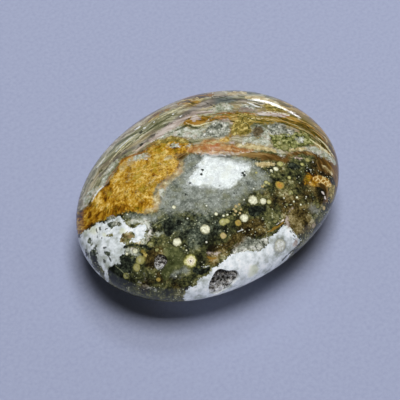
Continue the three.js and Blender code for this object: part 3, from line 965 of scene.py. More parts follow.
# How clear the rings of a kind are, from 0 to 1. PLAIN_RINGS is for the kinds not named here.
ORB_RINGS = {"target": 1.0, "orange": 0.6, "tan": 0.5, "gold": 0.7, "pearl": 0.3, "ghost": 0.2}
PLAIN_RINGS = 0.15
ORBS = {
    "cream": (
        "-.3 -8 1.05, -7.3 -11.4 .95, -19.2 -14.1 .35, 9.2 -5.3 .95, 11.3 -1.2 1.1,"
        "2.4 -4.4 .42, 13.6 -1.5 .75, 16.9 6.4 .6, 15.8 6 .38, -7.9 -2.6 .42, 21.9 -.5 .3,"
        "21.2 -1.5 .25, 22.9 -2.2 .25, -17.3 -13.6 .6, -4.9 -13.1 .2, 4 -4.8 .28, 4.9 -4.8 .26"),
    "target": "-3.9 -15.9 1.45",
    "orange": "17.6 2.4 1",
    "pear": "-16.1 -15.6 1, -17.1 -17.4 .85, 24.4 8.6 .55",
    "lime": (
        "20 4.5 .42, 15 -1.6 .55, 4 -6.2 .85, 4.9 -6.1 .6, 17.7 7.6 .7, 12.2 5.6 .3,"
        "23.1 7.5 .45, 14.3 3.2 .42, 14.9 2.7 .3, 13.9 2.6 .3"),
    "tan": (
        "4.1 -9.8 .72, 28.5 -3 .55, 13.4 2.3 .35, 7 -2.8 .4, 7.7 -2.3 .3, 6.4 -3.3 .25,"
        "7.1 -3.9 .32, 8.2 -3.5 .3, 7.9 -4.4 .28, 6.8 -4.8 .2"),
    "gold": "-11.6 -20.4 .5, 7.6 -6.5 .7",
    "pearl": "17.9 -12.1 1.5",
    "ghost": (
        "18.9 11.7 .9, 17.7 12.8 .75, 20.4 .6 .6, 27 -2.3 .6, -13.3 -11.8 .7, -19.4 -19.6 .7,"
        "19.4 -2.3 .35, 16.5 -6.2 .4, -12 -13 .4"),
    "mauve": "26 -7.3 .75",
    "pit": (
        "-.9 6.2 .28, -1.1 5.2 .28, -4 3 .22, 8.7 5.5 .32, 9.2 5 .34, 9.3 5.7 .24, 8.4 4.9 .2,"
        "6.8 .7 .22, 7.2 .4 .16, -5 .1 .18, -5.5 1.6 .14, 9.8 3 .18, -2.4 7.2 .14, 3.1 2.2 .14"),
    # These small near-white points are painted glints.
    "spark": (
        "0 -2.5 .2, -.2 -11.2 .22, -4.7 -5.6 .2, -19.2 -4.7 .18, -7.2 -19.6 .2, 9 -1 .2,"
        "11.3 1.7 .22, 24.1 -.3 .2, 18.6 -.6 .2"),
}
FAR_ORBS, FAR_ORB_SEED, FAMILY_SIZE = 150, 11, 9 * MM
FAR_ORB_KINDS = ("cream", "lime", "tan", "gold", "cream", "ghost", "orange", "target")


def orbs_seen():
    rows = []
    for kind, text in ORBS.items():
        for x, y, radius in numbers(text):
            nearest = front[((sheet[front] - (x, y)) ** 2).sum(axis=1).argmin()]
            rows.append((skin[nearest], radius, kind))
    return rows


def orbs_far(seen):
    """Scattered in loose families, smaller ones more often, and never touching."""
    chance = np.random.default_rng(FAR_ORB_SEED)
    hidden = np.flatnonzero(far > 0.02)
    rows = []
    while len(rows) < FAR_ORBS:
        place = skin[chance.choice(hidden)]
        radius = 0.25 + 1.2 * chance.random() ** 2.5
        kind = FAR_ORB_KINDS[int(chance.integers(len(FAR_ORB_KINDS)))]
        family = noise.noise(Vector(place) / FAMILY_SIZE + Vector((5, 2, 8)))
        clear = all(np.linalg.norm(place - p) > 1.15 * (radius + r) * MM
                    for p, r, k in seen + rows)
        if family > -0.05 and clear:
            rows.append((place, radius, kind))
    return rows


seen_orbs = orbs_seen()
all_orbs = seen_orbs + orbs_far(seen_orbs)
orb_centres = np.array([place for place, radius, kind in all_orbs])
orb_radii = np.array([radius for place, radius, kind in all_orbs]) * MM
face_middles = middles(stone_mesh, skin)
nearest_orb = np.concatenate([
    (np.linalg.norm(part[:, None, :] - orb_centres[None], axis=2) / orb_radii).argmin(axis=1)
    for part in in_parts(face_middles)])
print(len(seen_orbs), "orbs on the seen side,", len(all_orbs) - len(seen_orbs), "on the far side")

# %% [markdown]
# ## Storing the plan on the mesh
#
# Attributes are named values that travel with a mesh. The shader reads them by name, and they
# stay with the piece wherever it goes. Distances vary smoothly, so they are stored at the
# corners and blend across each face. An orb's centre must not blend with its neighbour's, so
# whatever belongs to an orb is stored once for each face.

# %% Attributes
ATTRIBUTE_KINDS = {
    1: ("FLOAT", "value"), 3: ("FLOAT_VECTOR", "vector"), 4: ("FLOAT_COLOR", "color")}


def store(mesh, name, values, where="POINT"):
    """Stores rows of values. A row is one number, or three for a vector, or four for a colour."""
    rows = np.ascontiguousarray(values, dtype=np.float32).reshape(len(values), -1)
    kind, slot = ATTRIBUTE_KINDS[rows.shape[1]]
    mesh.attributes.new(name, kind, where).data.foreach_set(slot, rows.ravel())


def as_vectors(places):
    """Places on the sheet with a third number of 0."""
    return np.column_stack([places, np.zeros(len(places))])


def paints(codes):
    return np.array([[*colour(code), 1] for code in codes])


move_corners(stone_mesh, stone_points)
at_corners = {**reaches, "tone_and_shade": tone_and_shade, "warmth": warmth, "bedding": bedding,
              "sheet": as_vectors(sheet)}
at_veins = {
    "vein from": as_vectors(vein_ends[:, :2]), "vein to": as_vectors(vein_ends[:, 2:]),
    "vein width": vein_widths, "vein paint": paints(VEIN_COLOURS[row[5]] for row in veins)}
orb_kinds = [kind for place, radius, kind in all_orbs]
at_orbs = {
    "orb centre": orb_centres / MM, "orb radius": orb_radii / MM,
    "orb paint": paints(ORB_COLOURS[kind] for kind in orb_kinds),
    "orb rings": np.array([ORB_RINGS.get(kind, PLAIN_RINGS) for kind in orb_kinds]),
    "orb pit": np.array([kind == "pit" for kind in orb_kinds])}
for name, values in at_corners.items():
    store(stone_mesh, name, values)
for owners, nearest in ((at_veins, nearest_vein), (at_orbs, nearest_orb)):
    for name, values in owners.items():
        store(stone_mesh, name, values[nearest], "FACE")
stone_mesh.shade_smooth()
print(len(stone_mesh.attributes), "attributes on", len(stone_mesh.vertices), "corners")

# %% [markdown]
# ## Painting helpers for the shader
#
# The recipes below need six things again and again: noise at a size in millimetres, a ramp of
# colours, a mix of two colours, a soft step between two values, a value read from the mesh, and
# a *dab*, which is a mix that shows only where a noise is high.

# %% Shader helpers
class Paint:
    """Short names for the nodes that every mineral's recipe uses."""

    def __init__(self, tree):
        self.tree = tree
        place = wire(tree, "ShaderNodeTexCoord", output="Object")
        self.mm = self.vector("SCALE", place, Scale=1 / MM)

    def vector(self, operation, first, second=None, **named):
        entries = {0: first, **named}
        if second is not None:
            entries[1] = second
        scalar = operation in ("DISTANCE", "DOT_PRODUCT")
        return wire(self.tree, "ShaderNodeVectorMath", entries, operation=operation,
                    output="Value" if scalar else "Vector")

    def value(self, name, output="Fac"):
        return wire(self.tree, "ShaderNodeAttribute", attribute_name=name, output=output)

    def cloud(self, size, detail=4.0, rough=0.55, where=None):
        """Noise from 0 to 1 whose lumps are about this many millimetres wide."""
        return wire(self.tree, "ShaderNodeTexNoise", {
            "Vector": where or self.mm, "Scale": 1 / size, "Detail": detail, "Roughness": rough})

    def three_clouds(self, size):
        """Three noises of the same size that have nothing to do with one another."""
        entries = {"Vector": self.mm, "Scale": 1 / size, "Detail": 3.0}
        return axes_of(self.tree, wire(self.tree, "ShaderNodeTexNoise", entries, output="Color"))

    def cells(self, size, output="Distance", **settings):
        """A net of cells. settings choose what is measured in them."""
        return wire(self.tree, "ShaderNodeTexVoronoi", {"Vector": self.mm, "Scale": 1 / size},
                    output=output, **settings)

    def ramp(self, factor, stops):
        """stops is text: a position and a hex colour, again and again."""
        made = node(self.tree, "ShaderNodeValToRGB", {0: factor})
        words = stops.split()
        elements = made.color_ramp.elements
        while len(elements) < len(words) / 2:
            elements.new(1.0)
        for element, position, code in zip(elements, words[::2], words[1::2]):
            element.position = float(position)
            element.color = (*colour(code), 1)
        return Wire(self.tree, made.outputs["Color"])

    def mix(self, share, under, over):
        """Two colours, each a wire or a hex code, and how much of the second one shows."""
        under, over = ((*colour(shade), 1) if isinstance(shade, str) else shade
                       for shade in (under, over))
        return wire(self.tree, "ShaderNodeMix", {0: share, 6: under, 7: over}, output=2,
                    data_type="RGBA")

    def step(self, value, low, high):
        """0 below low, 1 above high, and smooth between."""
        return wire(self.tree, "ShaderNodeMapRange",
                    {"Value": value, "From Min": low, "From Max": high},
                    interpolation_type="SMOOTHSTEP")

    def dab(self, under, over, strength, field, low, high):
        """Mixes in a colour where a field of values is high, and none where it is low."""
        return self.mix(self.step(field, low, high) * strength, under, over)


def empty_tree(material):
    material.use_nodes = True
    material.node_tree.nodes.clear()
    return material.node_tree


def end_material(tree, entries):
    """Every material ends in one Principled BSDF with these inputs."""
    body = wire(tree, "ShaderNodeBsdfPrincipled", entries)
    plug(tree, body, tree.nodes.new("ShaderNodeOutputMaterial").inputs["Surface"])


stone_tree = empty_tree(stone_material)
paint = Paint(stone_tree)

# Noise that every edge and every recipe shares.
lumps = paint.three_clouds(1.5)
nicks = paint.three_clouds(0.45)
tone_and_shade_wire = paint.value("tone_and_shade")
warm_wire = paint.value("warmth")
along = paint.value("bedding", "Vector")
wander = wire(stone_tree, "ShaderNodeCombineXYZ", {1: paint.cloud(7, 3) * 3.0})


def drawn_out(length):
    """A place for noise that is stretched along the layers of the stone."""
    return paint.vector("ADD", paint.vector("MULTIPLY", along, (1 / length, 1.0, 1.0)), wander)


lamina_place = drawn_out(11)
flow_place = drawn_out(1.6)

# %% [markdown]
# ## Recipes for the minerals
#
# Each recipe gives one mineral's colour everywhere. Where it shows is settled afterwards by the
# stored distances. Most of them are a noise run through a ramp of colours, with dabs of another
# colour where a second noise is high. The moss ground is fine-grained green-black clay in
# silica, and it turns to brown where iron has rusted.

# %% Ground, smoke and streaks
def moss_recipe():
    pebbly = (paint.cells(1.1, "Color") - 0.5) * paint.step(paint.cloud(4.5, 2), 0.46, 0.58)
    grain = (paint.cloud(0.6, 7, 0.72) * 0.5 + paint.cloud(2.6, 4, 0.6) * 0.5 + pebbly * 0.07
             + tone_and_shade_wire * 0.06)
    green = paint.ramp(grain, ".40 15160e .455 2b2d1c .50 43462a .54 5c5c35 .58 7c7a50 .64 a8a684")
    brown = paint.ramp(grain, ".40 17120a .455 2c2512 .50 453a1c .54 5d502b .58 7e6f42 .64 b0a37c")
    cool = paint.ramp(grain, ".40 11140f .455 272c24 .50 41483b .54 5a6152 .58 7a806e .64 a8ad9c")
    shade = paint.mix(paint.step(warm_wire + (lumps[0] - 0.5) * 1.2, 0.2, 0.75), green, brown)
    shade = paint.mix(paint.step(warm_wire + (lumps[1] - 0.5) * 1.2, -0.15, -0.7), shade, cool)
    rare = paint.step(paint.cloud(3.0, 2), 0.46, 0.56)
    snow = (1.0 - paint.step(paint.cells(0.7), 0.12, 0.25)) * rare
    return paint.mix(snow * 0.8, shade, "cdcfb0")


def contour(field, level, width):
    """1 along the line where a noise passes through a level, which draws long thin veins."""
    gap = (field - level).math("ABSOLUTE")
    return 1.0 - paint.step(gap, width * 0.5, width * 1.5)


def smoke_recipe():
    haze = paint.cloud(1.6, 8, 0.74) + tone_and_shade_wire * 0.08
    shade = paint.ramp(haze, ".34 4e5349 .45 747970 .52 8b9086 .60 a1a69f .70 bfc4bf")
    shade = paint.dab(shade, "777856", 0.6, paint.cloud(3.1, 4), 0.47, 0.66)
    shade = paint.dab(shade, "6e6554", 0.7, warm_wire, 0.1, 0.6)
    shade = paint.dab(shade, "3a4036", 0.55, paint.cloud(0.42, 4, 0.65), 0.55, 0.64)
    return paint.dab(shade, "c4c8bc", 0.4, paint.cloud(0.4, 3, 0.6), 0.58, 0.66)


def gold_recipe():
    thin = paint.cloud(0.9, 6, 0.68, lamina_place)
    broad = paint.cloud(2.2, 4, 0.6, lamina_place)
    shade = paint.ramp(thin, ".36 42310e .44 77591a .50 967229 .55 a78134 .60 bb9750 .68 dec78e")
    shade = paint.dab(shade, "8a5818", 0.4, broad, 0.52, 0.62)
    shade = paint.dab(shade, "6f6a30", 0.6, broad, 0.5, 0.4)
    shade = paint.mix(contour(broad, 0.47, 0.008) * 0.6, shade, "d8c990")
    shade = paint.mix(contour(broad, 0.52, 0.014) * 0.85, shade, "3a3710")
    return paint.dab(shade, "4c4418", 0.5, paint.cloud(0.6, 5, 0.7), 0.56, 0.66)


gold_shade = gold_recipe()


def streaks_recipe():
    thin = paint.cloud(0.7, 6, 0.68, lamina_place)
    broad = paint.cloud(2.2, 4, 0.55, lamina_place)
    shade = paint.ramp(thin, ".36 46432d .43 706b52 .49 8f896b .54 a49c7d .60 bcb497 .68 e0dac8")
    tint = paint.ramp(broad, ".38 56654a .44 80855f .50 9f987a .54 a59180 .58 a6976a .64 98793a")
    shade = paint.mix(0.45, shade, tint)
    shade = paint.mix(contour(thin, 0.57, 0.012) * 0.45, shade, "e6e4d4")
    shade = paint.mix(contour(thin, 0.45, 0.014) * 0.55, shade, "3a3620")
    shade = paint.dab(shade, "4a4a30", 0.45, paint.cloud(0.5, 5, 0.7), 0.56, 0.66)
    return paint.mix(paint.step(warm_wire + (lumps[0] - 0.5) * 0.8, 0.2, 0.7), shade, gold_shade)


# %% [markdown]
# The honey-coloured ground is jasper full of iron oxide. It is granular, with dark pinpricks
# and pale clots, and darkens where the clots thin out. The bands beside it are the same oxide,
# but laid down in sheets.

# %% Ochre, haze, amber, salmon and olive
def ochre_recipe():
    grain = (paint.cloud(0.9, 7, 0.74, flow_place) * 0.55
             + paint.cloud(3.4, 4, 0.6, flow_place) * 0.45 + tone_and_shade_wire * 0.05)
    shade = paint.ramp(grain, ".42 432605 .46 7b4e0a .49 a07115 .52 b78a24 .55 ca9f3a .60 edcf82")
    pale = paint.ramp(paint.cloud(0.7, 6, 0.74), ".40 9a701a .46 bc9230 .53 d4b252 .62 f0dca0")
    clots = tone_and_shade_wire * 0.35 + paint.cloud(2.6, 4, 0.62, flow_place)
    shade = paint.dab(shade, pale, 0.6, clots, 0.5, 0.68)
    shade = paint.dab(shade, "8a801e", 0.5, paint.cloud(2.2, 5, 0.65), 0.53, 0.66)
    spots = paint.cloud(0.8, 5, 0.7, flow_place) + (lumps[1] - 0.5) * 0.3
    shade = paint.dab(shade, "5c3a06", 0.7, spots, 0.58, 0.66)
    return paint.dab(shade, "5f3d08", 0.55, paint.cloud(0.42, 4, 0.66), 0.55, 0.63)


def haze_recipe():
    shade = paint.ramp(paint.cloud(1.3, 6, 0.66), ".36 86744a .46 a69264 .53 bdac82 .62 dcd2ac")
    return paint.dab(shade, "a98260", 0.6, paint.cloud(1.6, 3), 0.48, 0.6)


def amber_recipe():
    lines = paint.cloud(0.9, 5, 0.6, lamina_place) + tone_and_shade_wire * 0.06
    return paint.ramp(lines, ".38 402f12 .50 674a22 .62 967a48")


def salmon_recipe():
    body = paint.cloud(0.9, 6, 0.7, flow_place)
    shade = paint.ramp(body, ".36 7a4e26 .45 9c6a38 .52 ad7f4c .60 c09a68 .68 dcc096")
    shade = paint.dab(shade, "aa5a34", 0.55, warm_wire + (lumps[2] - 0.5) * 1.4, 0.3, 0.8)
    return paint.dab(shade, "bdb088", 0.45, paint.cloud(1.4, 4), 0.54, 0.64)


def olive_recipe():
    body = paint.cloud(1.2, 6, 0.62) + tone_and_shade_wire * 0.06
    shade = paint.ramp(body, ".36 574c1e .45 867535 .52 a6924c .60 bfad68 .70 ddd09a")
    return paint.mix(contour(body, 0.5, 0.014) * 0.85, shade, "35370f")


# %% [markdown]
# Fern is moss jasper with pale green grains, ash is clear quartz with dark needles in it, and
# rope is a net of pale walls round amber cells. The pale minerals differ mostly in how much
# pink, yellow or grey they hold.

# %% Fern, ash, slate, rope and the pale and dark minerals
def fern_recipe():
    body = paint.cloud(0.8, 6, 0.68)
    shade = paint.ramp(body, ".38 23270d .45 4c5228 .51 74763c .56 90905a .64 c0c08c")
    pebbles = 1.0 - paint.step(paint.cells(1.4) + (nicks[0] - 0.5) * 0.4, 0.25, 0.45)
    shade = paint.mix(pebbles * 0.45, shade, "a4a66c")
    return paint.mix(contour(paint.cloud(1.6, 4, 0.6), 0.5, 0.016) * 0.7, shade, "2c3014")


def ash_recipe():
    body = paint.cloud(1.3, 6, 0.66) + tone_and_shade_wire * 0.1
    shade = paint.ramp(body, ".36 4e5146 .44 7b7e70 .51 a3a596 .57 c3c3b6 .66 ebe9e2")
    shade = paint.dab(shade, "66502c", 0.6, warm_wire, 0.2, 0.7)
    return paint.dab(shade, "2a2b20", 0.85, paint.cloud(0.6, 4, 0.65), 0.54, 0.61)


def slate_recipe():
    body = paint.cloud(0.7, 5, 0.66, lamina_place)
    shade = paint.ramp(body, ".36 3d3932 .45 625b52 .53 7d756b .64 a69e94")
    cool = paint.ramp(body, ".36 343c3a .45 55605d .53 6f7b78 .64 a2aaa8")
    return paint.dab(shade, cool, 0.7, warm_wire, -0.1, -0.7)


def rope_recipe():
    cell = paint.cells(1.1, feature="DISTANCE_TO_EDGE") + (nicks[0] - 0.5) * 0.16
    return paint.ramp(cell, ".015 f0e0ac .05 dcc07c .10 b68c40 .22 9c7230 .42 7e5a20")


def cream_recipe():
    body = paint.cloud(0.9, 5, 0.66, flow_place)
    shade = paint.ramp(body, ".36 937f50 .46 b5a272 .54 cabb8c .66 e8dfbe")
    return paint.dab(shade, "8a6f3c", 0.5, paint.cloud(0.6, 5, 0.7), 0.55, 0.65)


def frost_recipe():
    body = paint.cloud(1.0, 6, 0.7) + tone_and_shade_wire * 0.1
    shade = paint.ramp(body, ".36 7d836c .44 a1a590 .51 b8bbaa .58 cfd1c5 .68 ecede6")
    shade = paint.dab(shade, "c0aa9c", 0.4, paint.cloud(1.8, 3), 0.5, 0.62)
    return paint.dab(shade, "3c4030", 0.8, paint.cloud(0.55, 4, 0.6), 0.57, 0.65)


def pink_recipe():
    body = paint.cloud(0.9, 5, 0.62, lamina_place)
    return paint.ramp(body, ".36 7d6f64 .45 a39388 .52 bbaca1 .60 cdc3ba .68 e6e0da")


def white_recipe():
    body = paint.cloud(2.0, 6, 0.62) + tone_and_shade_wire * 0.1
    shade = paint.ramp(body, ".34 a3a99f .42 c3c9c8 .50 dbe1e3 .57 ecf1f3 .66 fbfcfc")
    shade = paint.dab(shade, "949b94", 0.45, paint.cloud(1.3, 6, 0.7), 0.56, 0.68)
    return paint.dab(shade, "cdd09e", 0.5, warm_wire + (lumps[0] - 0.5) * 0.8, 0.35, 1.0)


def ink_recipe():
    return paint.ramp(paint.cloud(0.9, 6, 0.65), ".38 0c0e0b .50 1f231c .58 31372b .70 565b48")


def jade_recipe():
    shade = paint.ramp(paint.cloud(1.6, 5, 0.6), ".38 2b2f17 .46 3e4325 .54 4d5230 .64 6b6e45")
    return paint.dab(shade, "a3a376", 0.5, paint.cloud(0.5, 4, 0.6), 0.59, 0.67)


# %% [markdown]
# ## Laying one mineral over another
#
# Each mineral is mixed over those below it. Its stored distance is first made ragged by noise
# of two sizes, and then a soft step turns it into a share from 0 to 1. The numbers say how
# ragged and how soft each edge is, in millimetres: white silica ends sharply, and smoky
# chalcedony fades.

# %% Layers from the ground up
# Each mineral's big raggedness, small raggedness and softness in mm, and its recipe. The first
# one lies lowest.
LAYERS = {
    "smoke": (3.4, 2.0, 1.8, smoke_recipe), "streaks": (2.0, 1.4, 0.7, streaks_recipe),
    "slate": (1.8, 1.4, 0.8, slate_recipe), "ochre": (2.0, 1.8, 1.0, ochre_recipe),
    "haze": (2.4, 1.6, 1.6, haze_recipe), "gold": (1.8, 1.6, 0.5, lambda: gold_shade),
    "amber": (1.6, 1.4, 0.8, amber_recipe), "salmon": (2.0, 1.6, 0.9, salmon_recipe),
    "olive": (1.6, 1.4, 0.4, olive_recipe), "fern": (1.8, 1.6, 0.5, fern_recipe),
    "ash": (1.8, 1.8, 0.5, ash_recipe), "cream": (1.1, 1.2, 0.4, cream_recipe),
    "frost": (1.8, 1.8, 0.7, frost_recipe), "rope": (0.6, 0.6, 0.3, rope_recipe),
    "white": (1.2, 1.6, 0.2, white_recipe), "pink": (1.2, 1.4, 0.5, pink_recipe),
    "ink": (0.8, 1.0, 0.2, ink_recipe), "jade": (2.2, 1.4, 1.0, jade_recipe)}

stone_colour = moss_recipe()
shares = {}
for layer, (mineral, (big, small, soft, recipe)) in enumerate(LAYERS.items()):
    ragged = (paint.value(mineral) + (lumps[layer % 3] - 0.5) * big
              + (nicks[(layer + 1) % 3] - 0.5) * small)
    shares[mineral] = paint.step(ragged, -soft / 2, soft / 2)
    stone_colour = paint.mix(shares[mineral], stone_colour, recipe())
print(len(LAYERS), "minerals over the ground,", len(stone_tree.nodes), "nodes")

# %% [markdown]
# A vein's step runs from A to B. The point on it nearest to P is found by dropping P onto the
# line through A and B, and stopping at the ends. The half width is thickened and thinned by
# noise, so that the vein looks grown and not drawn.

# %% Veins over the layers
vein_start, vein_end = paint.value("vein from", "Vector"), paint.value("vein to", "Vector")
vein_run = paint.vector("SUBTRACT", vein_end, vein_start)
vein_offset = paint.vector("SUBTRACT", paint.value("sheet", "Vector"), vein_start)
vein_part = paint.vector("DOT_PRODUCT", vein_offset, vein_run)
vein_part = vein_part / paint.vector("DOT_PRODUCT", vein_run, vein_run)
vein_part = vein_part.math("MINIMUM", 1.0).math("MAXIMUM", 0.0)
vein_gap = paint.vector("DISTANCE", vein_offset,
                        paint.vector("SCALE", vein_run, Scale=vein_part))
vein_reach = (paint.value("vein width") * (0.4 + lumps[0] * 1.2) - vein_gap
              + (nicks[1] - 0.5) * 0.45)
vein_share = paint.step(vein_reach, -0.08, 0.08) * 0.85
stone_colour = paint.mix(vein_share, stone_colour, paint.value("vein paint", "Color"))

# %% [markdown]
# ## Orbs over the layers
#
# The distance to the orb's centre, in radii, drives everything: a dark olive halo outside 1, a
# body inside it, thin rings for the kinds that have them, and a small eye in the middle.

# %% Orbs
wobble = (nicks[2] - 0.5) * 0.6 + (lumps[1] - 0.5) * 0.4
orb_gap = paint.vector("DISTANCE", paint.mm, paint.value("orb centre", "Vector"))
orb_gap = orb_gap / paint.value("orb radius") + wobble
rings = paint.value("orb rings")
orb_body = paint.value("orb paint", "Color")

# A duller skin, blotches and rings.
orb_skin = paint.mix(paint.step(orb_gap, 0.5, 0.95) * (0.4 + rings * 0.3), orb_body, "97934a")
orb_skin = paint.dab(orb_skin, "87824c", 0.4, nicks[1] + (lumps[0] - 0.5) * 0.5, 0.52, 0.7)
ring_wave = (orb_gap * 15.0).math("SINE") * 0.5 + 0.5
orb_skin = paint.mix(ring_wave * rings * 0.35, orb_skin, "6f5a20")

# A dark eye in the ringed kinds, and a pale glow in the plain ones.
eye_share = (1.0 - paint.step(orb_gap, 0.1, 0.2)) * paint.step(rings, 0.55, 0.9)
orb_skin = paint.mix(eye_share, orb_skin, "5a4018")
orb_skin = paint.dab(orb_skin, "7c7446", 0.45, paint.cloud(0.5, 5, 0.7), 0.46, 0.62)
glow = (1.0 - paint.step(orb_gap, 0.0, 0.75)) * paint.step(paint.cloud(0.6, 4, 0.6), 0.42, 0.58)
orb_skin = paint.mix(glow * (1.0 - rings) * 0.4, orb_skin, "f3f1dc")

# An ember in the orange kind, and the bull's eye of the target kind.
ember = paint.step(rings, 0.55, 0.6) * (1.0 - paint.step(rings, 0.6, 0.65))
ember = ember * (1.0 - paint.step(orb_gap, 0.1, 0.7)) * paint.step(nicks[1], 0.4, 0.6)
orb_skin = paint.mix(ember * 0.8, orb_skin, "b4561a")
target = paint.ramp(orb_gap + wobble * 0.4,
                    ".09 5a4a3c .15 efe8d6 .28 f4eedc .38 d6c6a0 .46 ddd0a6 "
                    ".54 eee8cc .66 dcd6a4 .80 b4b06c .95 848240")
orb_skin = paint.mix(paint.step(rings, 0.85, 0.95), orb_skin, target)

# A pit is painted plain dark, as painted shade for the inside of the pinprick, and has no halo. A
# ghost is half hidden in the ground.
pit = paint.value("orb pit")
orb_skin = paint.mix(pit, orb_skin, orb_body)
halo_share = (1.0 - paint.step(orb_gap, 1.0, 1.45)) * 0.5 * (1.0 - pit)
stone_colour = paint.mix(halo_share, stone_colour, "2e2f14")
ghost = (1.0 - paint.step(rings, 0.2, 0.3)) * paint.step(rings, 0.15, 0.2)
hidden_share = ghost * paint.step(paint.cloud(0.8, 5, 0.66), 0.44, 0.58) * 0.75
orb_share = (1.0 - paint.step(orb_gap, 0.76, 1.14)) * (1.0 - hidden_share)
stone_colour = paint.mix(orb_share, stone_colour, orb_skin)
pit_share = pit * orb_share

# %% [markdown]
# ## Finish
#
# Tumbling leaves jasper with a glassy polish: an index of refraction of about 1.54, which is
# that of all quartz, and hardly any roughness. The granular ochre takes the polish less well,
# so it is a little rougher and has the faintest bump. The streaked layers wear unevenly.

# %% The stone's surface
QUARTZ_IOR = 1.54
grit = paint.cloud(0.35, 3, 0.6)
roughness = 0.07 + shares["ochre"] * 0.08 + paint.step(grit, 0.6, 0.75) * 0.15 + pit_share * 0.8
layered = paint.cloud(0.6, 4, 0.6, lamina_place) * shares["streaks"]
relief = (paint.cloud(1.8, 2) * 0.02 + grit * (0.003 + shares["ochre"] * 0.01)
          + layered * 0.03 - pit_share * 0.1)
bump = wire(stone_tree, "ShaderNodeBump", {"Strength": 1.0, "Distance": MM, "Height": relief})
end_material(stone_tree, {
    "Base Color": stone_colour, "Roughness": roughness, "IOR": QUARTZ_IOR, "Normal": bump})

stone = add_piece("polished_stone", stone_mesh)
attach(stone, "root")
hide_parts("stone")
print("stone:", sum(len(face.vertices) - 2 for face in stone_mesh.polygons), "triangles")

# %% [markdown]
# ## Crusts of quartz crystals
#
# Quartz grows into a vug as six-sided points that stand on its wall and crowd each other. The
# floor of each hollow is copied as a thin closed lining, and Geometry Nodes scatter small
# crystals over it. Each one stands along the wall's normal with a little tilt of its own, and
# the instances are made real at the end.

# %% One quartz point
# Radius and height of the root, which is sunk in the wall, and of the shoulder. The tip stands
# a little off the middle, as real ones do.
CRYSTAL_SIDES = 6
CRYSTAL_ROOT, CRYSTAL_SHOULDER = (0.46, -0.4), (0.5, 1.35)
CRYSTAL_TIP = (0.06, 0.03, 1.95)


def quartz_point():
    """A six-sided prism with a pointed top, one unit wide and about two units tall."""
    work = bmesh.new()
    turns = [2 * math.pi * i / CRYSTAL_SIDES for i in range(CRYSTAL_SIDES)]
    low, high = ([work.verts.new((r * math.cos(turn), r * math.sin(turn), z)) for turn in turns]
                 for r, z in (CRYSTAL_ROOT, CRYSTAL_SHOULDER))
    tip = work.verts.new(CRYSTAL_TIP)
    work.faces.new(list(reversed(low)))
    for i in range(CRYSTAL_SIDES):
        j = (i + 1) % CRYSTAL_SIDES
        work.faces.new((low[i], low[j], high[j], high[i]))
        work.faces.new((high[i], high[j], tip))
    mesh = bpy.data.meshes.new("quartz point")
    work.to_mesh(mesh)
    work.free()
    return mesh


point_holder = bpy.data.objects.new("quartz point", quartz_point())

# %% The crust tree
CRUST_SIZES = {"Spacing": 0.3 * MM, "Smallest": 0.25 * MM, "Largest": 1.05 * MM, "Seed": 4}
MOST_POINTS = 2e7  # for each square metre, so that only the spacing limits them
TILT = 0.55


def crust_tree(name):
    tree, size = geometry_tree(name, CRUST_SIZES)
    room_side = wire(tree, "GeometryNodeInputNamedAttribute", {"Name": "room side"},
                     output="Attribute")
    scatter = node(tree, "GeometryNodeDistributePointsOnFaces", {
        "Mesh": size["Geometry"], "Distance Min": size["Spacing"], "Density Max": MOST_POINTS,
        "Density Factor": room_side.math("GREATER_THAN", 0.99), "Seed": size["Seed"]},
        distribute_method="POISSON")
    tilt = wire(tree, "FunctionNodeRandomValue", {
        0: (-TILT, -TILT, -3.14), 1: (TILT, TILT, 3.14), "Seed": size["Seed"]},
        data_type="FLOAT_VECTOR")
    turned = wire(tree, "FunctionNodeRotateRotation", {
        0: Wire(tree, scatter.outputs["Rotation"]), 1: tilt}, rotation_space="LOCAL")
    width = wire(tree, "FunctionNodeRandomValue", {
        2: size["Smallest"], 3: size["Largest"], "Seed": size["Seed"]}, output=1,
        data_type="FLOAT")
    placed = wire(tree, "GeometryNodeInstanceOnPoints", {
        "Points": Wire(tree, scatter.outputs["Points"]),
        "Instance": wire(tree, "GeometryNodeObjectInfo", {"Object": point_holder},
                         output="Geometry"),
        "Rotation": turned, "Scale": width})
    joined = node(tree, "GeometryNodeJoinGeometry")
    for part in (size["Geometry"], placed):
        plug(tree, part, joined.inputs[0])
    end_tree(tree, Wire(tree, joined.outputs[0]), quartz_material)
    return tree


# %% [markdown]
# The lining is a copy of the faces inside the hollow. It stands just off the wall, has a
# thickness, and is closed all round. A value on its corners says which side faces the room,
# since crystals grow only there. Afterwards no crystal may stand proud of the polished skin,
# so any corner that does is lowered to just under it.

# %% Line a hollow
LINING_GAP, LINING_DEPTH, LINING_REACH = 0.05 * MM, 0.2 * MM, 0.97
skin_tree = KDTree(len(skin))
for number, corner in enumerate(skin):
    skin_tree.insert(corner, number)
skin_tree.balance()


def lining_of(name):
    inside, share = hollow_corners[name]
    chosen = [int(i) for i in inside[share < LINING_REACH]]
    number = {corner: n for n, corner in enumerate(chosen)}
    count = len(chosen)
    wall_out = vectors_of(stone_mesh, "normal")[chosen]
    wall = stone_points[chosen]
    faces = [tuple(number[v] for v in face.vertices) for face in stone_mesh.polygons
             if all(v in number for v in face.vertices)]
    sides = {(face[i - 1], face[i]) for face in faces for i in range(len(face))}
    rim = [(a, b) for a, b in sides if (b, a) not in sides]
    mesh = bpy.data.meshes.new(name + " lining")
    mesh.from_pydata(
        np.vstack([wall + wall_out * (LINING_GAP + LINING_DEPTH), wall + wall_out * LINING_GAP]),
        [], faces + [tuple(v + count for v in reversed(face)) for face in faces]
        + [(b, a, a + count, b + count) for a, b in rim])
    store(mesh, "room side", np.arange(2 * count) < count)
    return mesh


def keep_under_skin(mesh, depth):
    """Lowers every corner that isn't at least this deep under the polished skin."""
    points = vectors_of(mesh)
    for point in points:
        nearest = skin_tree.find(point)[1]
        out = smooth_normals[nearest]
        point -= max(0, (point - skin[nearest]) @ out + depth) * out
    move_corners(mesh, points)


